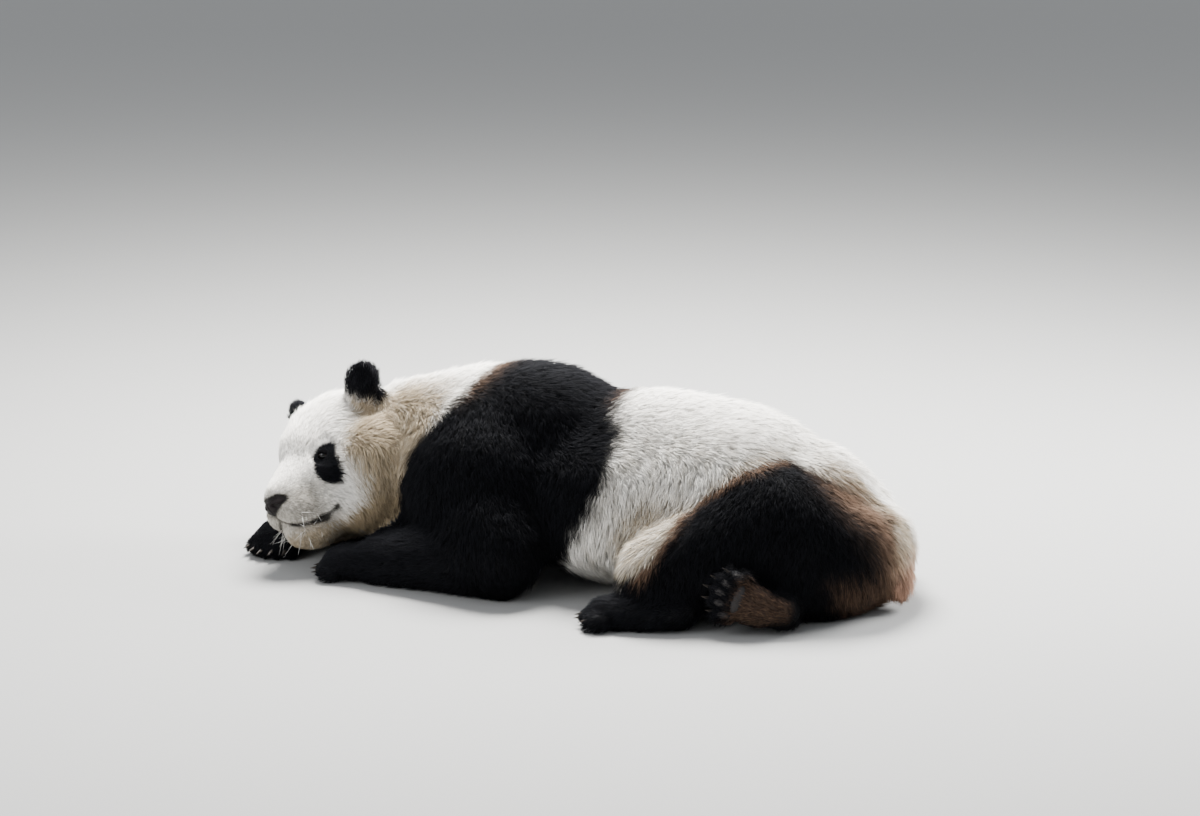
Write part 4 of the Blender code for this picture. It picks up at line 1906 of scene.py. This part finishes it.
@dataclass
class Eyes:
    """Eyeballs and their lids, in the head's frame."""

    lid_gap: float = 0.0006
    lid_wall: float = 0.0016
    lid_edge: float = 0.0005
    half_width: float = 0.0112
    half_height: float = 0.0058
    almond: float = 2.2
    side_turn: float = 28.0
    slant: float = -24.0
    cornea: float = 0.0006
    cornea_edge: Ramp = Ramp(0.8, 1.0)
    rings: Ramp = Ramp(0.55, 1.0)
    shell_back: float = -0.2
    shell_front: float = 0.3
    rim_fit: float = 0.85
    ball_segments: tuple[int, int] = (48, 32)
    lid_segments: tuple[int, int] = (72, 48)

    def gaze(self, side: int) -> Matrix:
        """The eye's frame: x looks out, y runs to the outer corner.

        Args:
            side: 1 for the left eye, -1 for the right.

        Returns:
            A matrix from the eye's frame to the model's space.
        """
        middle = eye_places()[0 if side > 0 else 1]
        turn = HEAD.matrix().to_3x3().normalized().to_4x4()
        look = turned(z=side * self.side_turn) @ turned(x=side * self.slant)
        return Matrix.Translation(middle) @ turn @ look

    def radius(self, name: str) -> float:
        """The radius of the solid eye of this name."""
        low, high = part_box(name)
        return (high - low).x / 2

    def opening(self, across: float) -> float:
        """Half the almond's height, at a share of its half width from its middle."""
        return self.half_height * (1 - across**self.almond)

    def ball(self, side: int) -> bpy.types.Object:
        """A round eyeball with a slight cornea, which takes the solid's place.

        Args:
            side: 1 for the left eye, -1 for the right.

        Returns:
            The finished eyeball.
        """
        name = "eye_left" if side > 0 else "eye_right"
        radius = self.radius(name)
        form = bmesh.new()
        add_ball(form, self.ball_segments, turned(y=90), radius)
        made = from_bmesh(f"{name}_ball", form)
        rows = places_of(made.data)
        front = rows[:, 0] / radius
        put_mask(made.data, "front", self.rings(front) ** 0.5)
        rows[:, 0] += self.cornea * self.cornea_edge(front)
        put_places(made.data, rows)
        made.data.transform(self.gaze(side))
        made.data.materials.append(EyeFinish().material())
        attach(made, BODY)
        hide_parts(name)
        return made

    def lids(self, side: int) -> bpy.types.Object:
        """A shell over the ball with an almond opening.

        Args:
            side: 1 for the left eye, -1 for the right.

        Returns:
            The finished lids.
        """
        radius = self.radius("eye_left" if side > 0 else "eye_right") + self.lid_gap
        form = bmesh.new()
        add_ball(form, self.lid_segments, turned(y=90), radius)
        behind = [v for v in form.verts if v.co.x < self.shell_back * radius]
        bmesh.ops.delete(form, geom=behind, context="VERTS")

        def inside(v: bmesh.types.BMVert) -> bool:
            """Whether a point lies in the almond."""
            across = abs(v.co.y) / self.half_width
            return v.co.x > 0 and across < 1 and abs(v.co.z) < self.opening(across)

        bmesh.ops.delete(form, geom=[v for v in form.verts if inside(v)], context="VERTS")
        bmesh.ops.recalc_face_normals(form, faces=form.faces)
        rim = {v for e in form.edges if e.is_boundary for v in e.verts}
        for v in rim:
            if v.co.x > self.shell_front * radius:
                height = self.opening(min(1.0, abs(v.co.y) / self.half_width))
                v.co.z += self.rim_fit * (math.copysign(height, v.co.z) - v.co.z)
                v.co = v.co.normalized() * radius
        made = from_bmesh(f"lids_{'left' if side > 0 else 'right'}", form)
        wall = made.modifiers.new("wall", "SOLIDIFY")
        wall.thickness = self.lid_wall
        wall.offset = 1.0
        edge = made.modifiers.new("edge", "BEVEL")
        edge.width = self.lid_edge
        edge.segments = 2
        edge.limit_method = "ANGLE"
        settled(made)
        shade(made.data)
        made.data.transform(self.gaze(side))
        made.data.materials.append(LID_SKIN.material())
        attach(made, BODY)
        return made

    def build(self) -> list[bpy.types.Object]:
        """Both eyes and both pairs of lids."""
        return [make(side) for side in (1, -1) for make in (self.ball, self.lids)]


@dataclass
class Nose:
    """The nose leather: a broad pad with comma nostrils and a seam down its middle."""

    roundness: float = 1.15
    top_wider: float = 0.05
    nostril: float = 0.34
    nostril_place: tuple[float, float] = (0.50, -0.10)
    nostril_size: tuple[float, float] = (0.24, 0.20)
    nostril_edge: Ramp = Ramp(1.3, 0.35)
    nostril_lean: float = 0.45
    slit_place: tuple[float, float] = (0.80, -0.24)
    slit_size: tuple[float, float] = (0.22, 0.075)
    slit_edge: Ramp = Ramp(1.2, 0.4)
    slit_share: float = 0.6
    seam: float = 0.10
    seam_height: Ramp = Ramp(0.35, -0.3)
    seam_width: float = 0.05
    slope: tuple[float, float] = (0.25, -0.05)
    segments: tuple[int, int] = (96, 64)

    def build(self) -> bpy.types.Object:
        """Builds the pad in the head's frame and presses its features in.

        Returns:
            The finished nose.
        """
        form = bmesh.new()
        add_ball(form, self.segments, turned(y=90))
        made = from_bmesh("nose_leather", form)
        x, y, z = places_of(made.data).T
        high = np.sign(z) * np.abs(z) ** self.roundness
        out = np.column_stack([x, y * (nose_width(z) + self.top_wider * z), high])
        lean = self.nostril_lean * (np.abs(y) - self.nostril_place[0])
        for side in (1, -1):
            off = np.hypot(
                (y - side * self.nostril_place[0]) / self.nostril_size[0],
                (z - self.nostril_place[1] + lean) / self.nostril_size[1],
            )
            slit = np.hypot(
                (y - side * self.slit_place[0]) / self.slit_size[0],
                (z - self.slit_place[1]) / self.slit_size[1],
            )
            slit = self.slit_share * self.slit_edge(slit)
            out[:, 0] -= self.nostril * np.maximum(self.nostril_edge(off), slit) * (x > 0)
        seam = hump(y, 0.0, self.seam_width) * self.seam_height(z) * (x > 0)
        out[:, 0] -= self.seam * seam
        out = out * np.array(NOSE_RADII) + np.array(NOSE_CENTRE)
        out[:, 0] -= self.slope[0] * (out[:, 2] - self.slope[1]).clip(0, None)
        put_places(made.data, HEAD.world(out))
        made.data.materials.append(NOSE_LEATHER.material())
        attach(made, BODY)
        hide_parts("nose")
        return made


@dataclass
class Claws:
    """Curved horn claws, five to a foot."""

    length: float = 0.030
    radius: float = 0.0050
    rings: int = 9
    sides: int = 12
    curl: float = 45.0
    tilt: float = 6.0
    taper: float = 0.9
    taper_power: float = 1.6
    behind_tip: float = 0.006
    lift: float = 0.004

    def girth(self, ring: int) -> float:
        """How thick a ring is, from 1 at the root."""
        return 1 - self.taper * (ring / self.rings) ** self.taper_power

    def one(self, foot: FootFrame, place: Vector, splay: float) -> bmesh.types.BMesh:
        """Makes one claw: a ring pushed out along an arc and drawn to a point.

        Args:
            foot: the foot it grows on.
            place: its root in the foot's frame.
            splay: how far it turns sideways.

        Returns:
            The claw, in the model's space.
        """
        form = bmesh.new()
        bmesh.ops.create_circle(form, cap_ends=True, segments=self.sides, radius=self.radius)
        tip = list(form.faces)
        for i in range(self.rings):
            pushed = bmesh.ops.extrude_face_region(form, geom=tip)["geom"]
            if i:
                bmesh.ops.delete(form, geom=tip, context="FACES_ONLY")
            ring = [v for v in pushed if isinstance(v, bmesh.types.BMVert)]
            tip = [p for p in pushed if isinstance(p, bmesh.types.BMFace)]
            middle = sum((v.co for v in ring), Vector()) / len(ring)
            step = (
                Matrix.Translation(middle) @ turned(0, self.curl / self.rings, 0)
                @ Matrix.Translation((0, 0, self.length / self.rings))
                @ Matrix.Scale(self.girth(i + 1) / self.girth(i), 4)
                @ Matrix.Translation(-middle)
            )
            bmesh.ops.transform(form, matrix=step, verts=ring)
        bmesh.ops.recalc_face_normals(form, faces=form.faces)
        start = foot.matrix() @ Matrix.Translation(place) @ turned(0, self.tilt, splay)
        bmesh.ops.transform(form, matrix=start @ turned(y=90), verts=form.verts)
        return form

    def build(self) -> list[bpy.types.Object]:
        """The claws of all four feet, a piece for each foot.

        Returns:
            The four pieces.
        """
        made = []
        horn = HornFinish().material()
        for foot in FEET:
            whole = bmesh.new()
            for place, splay in foot.toes(foot.length - self.behind_tip):
                join(whole, self.one(foot, place + Vector((0, 0, self.lift)), splay))
            piece = from_bmesh(f"{foot.name}_claws", whole)
            piece.data.materials.append(horn)
            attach(piece, BODY)
            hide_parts(*[f"{foot.name}_claw_{i}" for i in range(1, 6)])
            made.append(piece)
        return made


@dataclass
class SolePads:
    """The bare pads on the sole of the turned-up hind foot."""

    thick: float = 0.009
    toe_radii: tuple[float, float] = (0.0145, 0.0088)
    toe_place: tuple[float, float] = (0.020, 0.010)
    broad_radii: tuple[float, float] = (0.0135, 0.033)
    broad_place: tuple[float, float] = (0.060, 0.008)
    segments: tuple[int, int] = (24, 16)

    def build(self) -> bpy.types.Object:
        """Builds five toe pads and the broad pad behind them.

        Returns:
            The pads as one piece.
        """
        foot = TURNED_UP
        form = bmesh.new()

        def pad(place: Place, radii: tuple[float, float], splay: float = 0.0) -> None:
            """Adds one rounded pad on the sole.

            Args:
                place: its middle in the foot's frame.
                radii: half its length and half its width.
                splay: how far it turns, in degrees.
            """
            size = Matrix.Diagonal((*radii, self.thick, 1))
            start = foot.matrix() @ Matrix.Translation(place) @ turned(z=splay)
            add_ball(form, self.segments, start @ size)

        behind, high = self.toe_place
        for place, splay in foot.toes(foot.length - behind):
            pad((place.x, place.y, high), self.toe_radii, splay)
        behind, high = self.broad_place
        pad((foot.length - behind, 0.0, high), self.broad_radii)
        made = from_bmesh("sole_pads", form)
        made.data.materials.append(PAD_LEATHER.material())
        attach(made, BODY)
        return made


@dataclass
class Whiskers:
    """Pale bristles on lip and chin, in the head's frame."""

    number: int = 34
    length: float = 0.045
    radius: float = 0.00035
    tip_share: float = 0.25
    forward: tuple[float, float] = (0.15, 0.20)
    aside: tuple[float, float] = (0.015, 0.06)
    height: tuple[float, float] = (-0.15, -0.09)
    unruly: float = 0.35
    droop: float = -0.35
    length_range: tuple[float, float] = (0.6, 1.3)
    sunk: float = 0.002
    colour: Colour = (0.82, 0.80, 0.76)
    roughness: float = 0.4

    def build(self, skin: bpy.types.Object) -> bpy.types.Object:
        """Sets bristles into the lips and chin.

        Args:
            skin: the skin they grow from.

        Returns:
            The bristles as one piece.
        """
        rng = np.random.default_rng(SEED + 1)
        tree = BVHTree.FromObject(skin, bpy.context.evaluated_depsgraph_get())
        form = bmesh.new()
        for k in range(self.number):
            side = 1 if k % 2 else -1
            forward, aside = rng.uniform(*self.forward), side * rng.uniform(*self.aside)
            spot = HEAD.place((forward, aside, rng.uniform(*self.height)))
            place, normal, _, _ = tree.find_nearest(spot)
            way = normal + self.unruly * Vector(rng.normal(0, 1, 3)) + Vector((0, 0, self.droop))
            way.normalize()
            long = self.length * rng.uniform(*self.length_range)
            turn = way.to_track_quat("Z", "Y").to_matrix().to_4x4()
            bmesh.ops.create_cone(
                form, cap_ends=True, segments=5, radius1=self.radius,
                radius2=self.radius * self.tip_share, depth=long,
                matrix=Matrix.Translation(place + way * (long / 2 - self.sunk)) @ turn,
            )
        made = from_bmesh("whiskers", form)
        made.data.materials.append(plain_material("whisker", self.colour, self.roughness))
        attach(made, BODY)
        return made


# ---------------------------------------------------------------- stage


@dataclass(frozen=True)
class Lamp:
    """One soft light."""

    name: str
    place: Place
    goal: Place
    power: float
    size: float
    colour: Colour = (1.0, 1.0, 1.0)

    def light(self) -> bpy.types.Object:
        """Hangs the light.

        Returns:
            The light's object.
        """
        lamp = bpy.data.lights.new(self.name, "AREA")
        lamp.shape = "DISK"
        lamp.energy, lamp.size, lamp.color = self.power, self.size, self.colour
        made = as_object(self.name, lamp)
        made.location = self.place
        way = Vector(self.goal) - Vector(self.place)
        made.rotation_euler = way.to_track_quat("-Z", "Y").to_euler()
        return made


@dataclass
class Stage:
    """The pale floor, the soft light and the camera."""

    azimuth: float = 110.0
    elevation: float = 14.0
    distance: float = 9.0
    lens: float = 116.1
    sensor: float = 36.0
    aim: Place = (-0.1370, -0.0026, 0.3681)
    floor_size: float = 30.0
    floor_colour: Colour = (0.30, 0.30, 0.295)
    floor_roughness: float = 0.9
    sky_colour: Colour = (0.90, 0.93, 0.97)
    sky_strength: float = 0.84
    lamps: tuple[Lamp, ...] = (
        Lamp("key", (-1.2, -0.5, 3.2), (0.0, 0.0, 0.2), 940.0, 1.8, (1.0, 0.985, 0.96)),
        Lamp("rim", (-1.8, 2.4, 1.8), (0.0, 0.2, 0.25), 280.0, 1.6),
        Lamp("fill", (3.2, -2.4, 1.9), (0.0, -0.1, 0.2), 120.0, 2.6, (0.97, 0.985, 1.0)),
    )

    def floor(self) -> bpy.types.Object:
        """A wide pale floor.

        Returns:
            The floor.
        """
        form = bmesh.new()
        bmesh.ops.create_grid(form, x_segments=1, y_segments=1, size=self.floor_size)
        made = from_bmesh("floor", form, smooth=False)
        finish = plain_material("pale_floor", self.floor_colour, self.floor_roughness)
        made.data.materials.append(finish)
        return made

    def camera(self) -> bpy.types.Object:
        """The camera, at its viewing angle.

        Returns:
            The camera's object.
        """
        a, e = math.radians(self.azimuth), math.radians(self.elevation)
        back = Vector((math.sin(a) * math.cos(e), -math.cos(a) * math.cos(e), math.sin(e)))
        view = bpy.data.cameras.new("camera")
        view.lens, view.sensor_width = self.lens, self.sensor
        made = as_object("camera", view)
        made.location = Vector(self.aim) + back * self.distance
        made.rotation_euler = (-back).to_track_quat("-Z", "Y").to_euler()
        bpy.context.scene.camera = made
        return made

    def build(self) -> None:
        """Sets the stage."""
        world = bpy.data.worlds.new("studio")
        world.use_nodes = True
        sky = world.node_tree.nodes["Background"]
        dial(sky, {"Color": (*self.sky_colour, 1), "Strength": self.sky_strength})
        bpy.context.scene.world = world
        self.floor()
        [lamp.light() for lamp in self.lamps]
        self.camera()


def main() -> None:
    """Builds the panda's pieces in order and reports each."""
    logging.basicConfig(level=logging.INFO, format="%(relativeCreated)6d ms %(name)s: %(message)s")
    skin = Skin().build()
    pieces = [skin, *Eyes().build(), Nose().build(), *Claws().build(), SolePads().build()]
    pieces.append(Whiskers().build(skin))
    for made in pieces:
        LOG.info("%s: %d faces", made.name, len(made.data.polygons))
    pieces += Coat(skin, crowding=1.0).build()
    total = sum(sum(len(p.vertices) - 2 for p in made.data.polygons) for made in pieces)
    LOG.info("%d pieces, %d triangles", len(pieces), total)
    Stage().build()


if __name__ == "__main__":
    main()
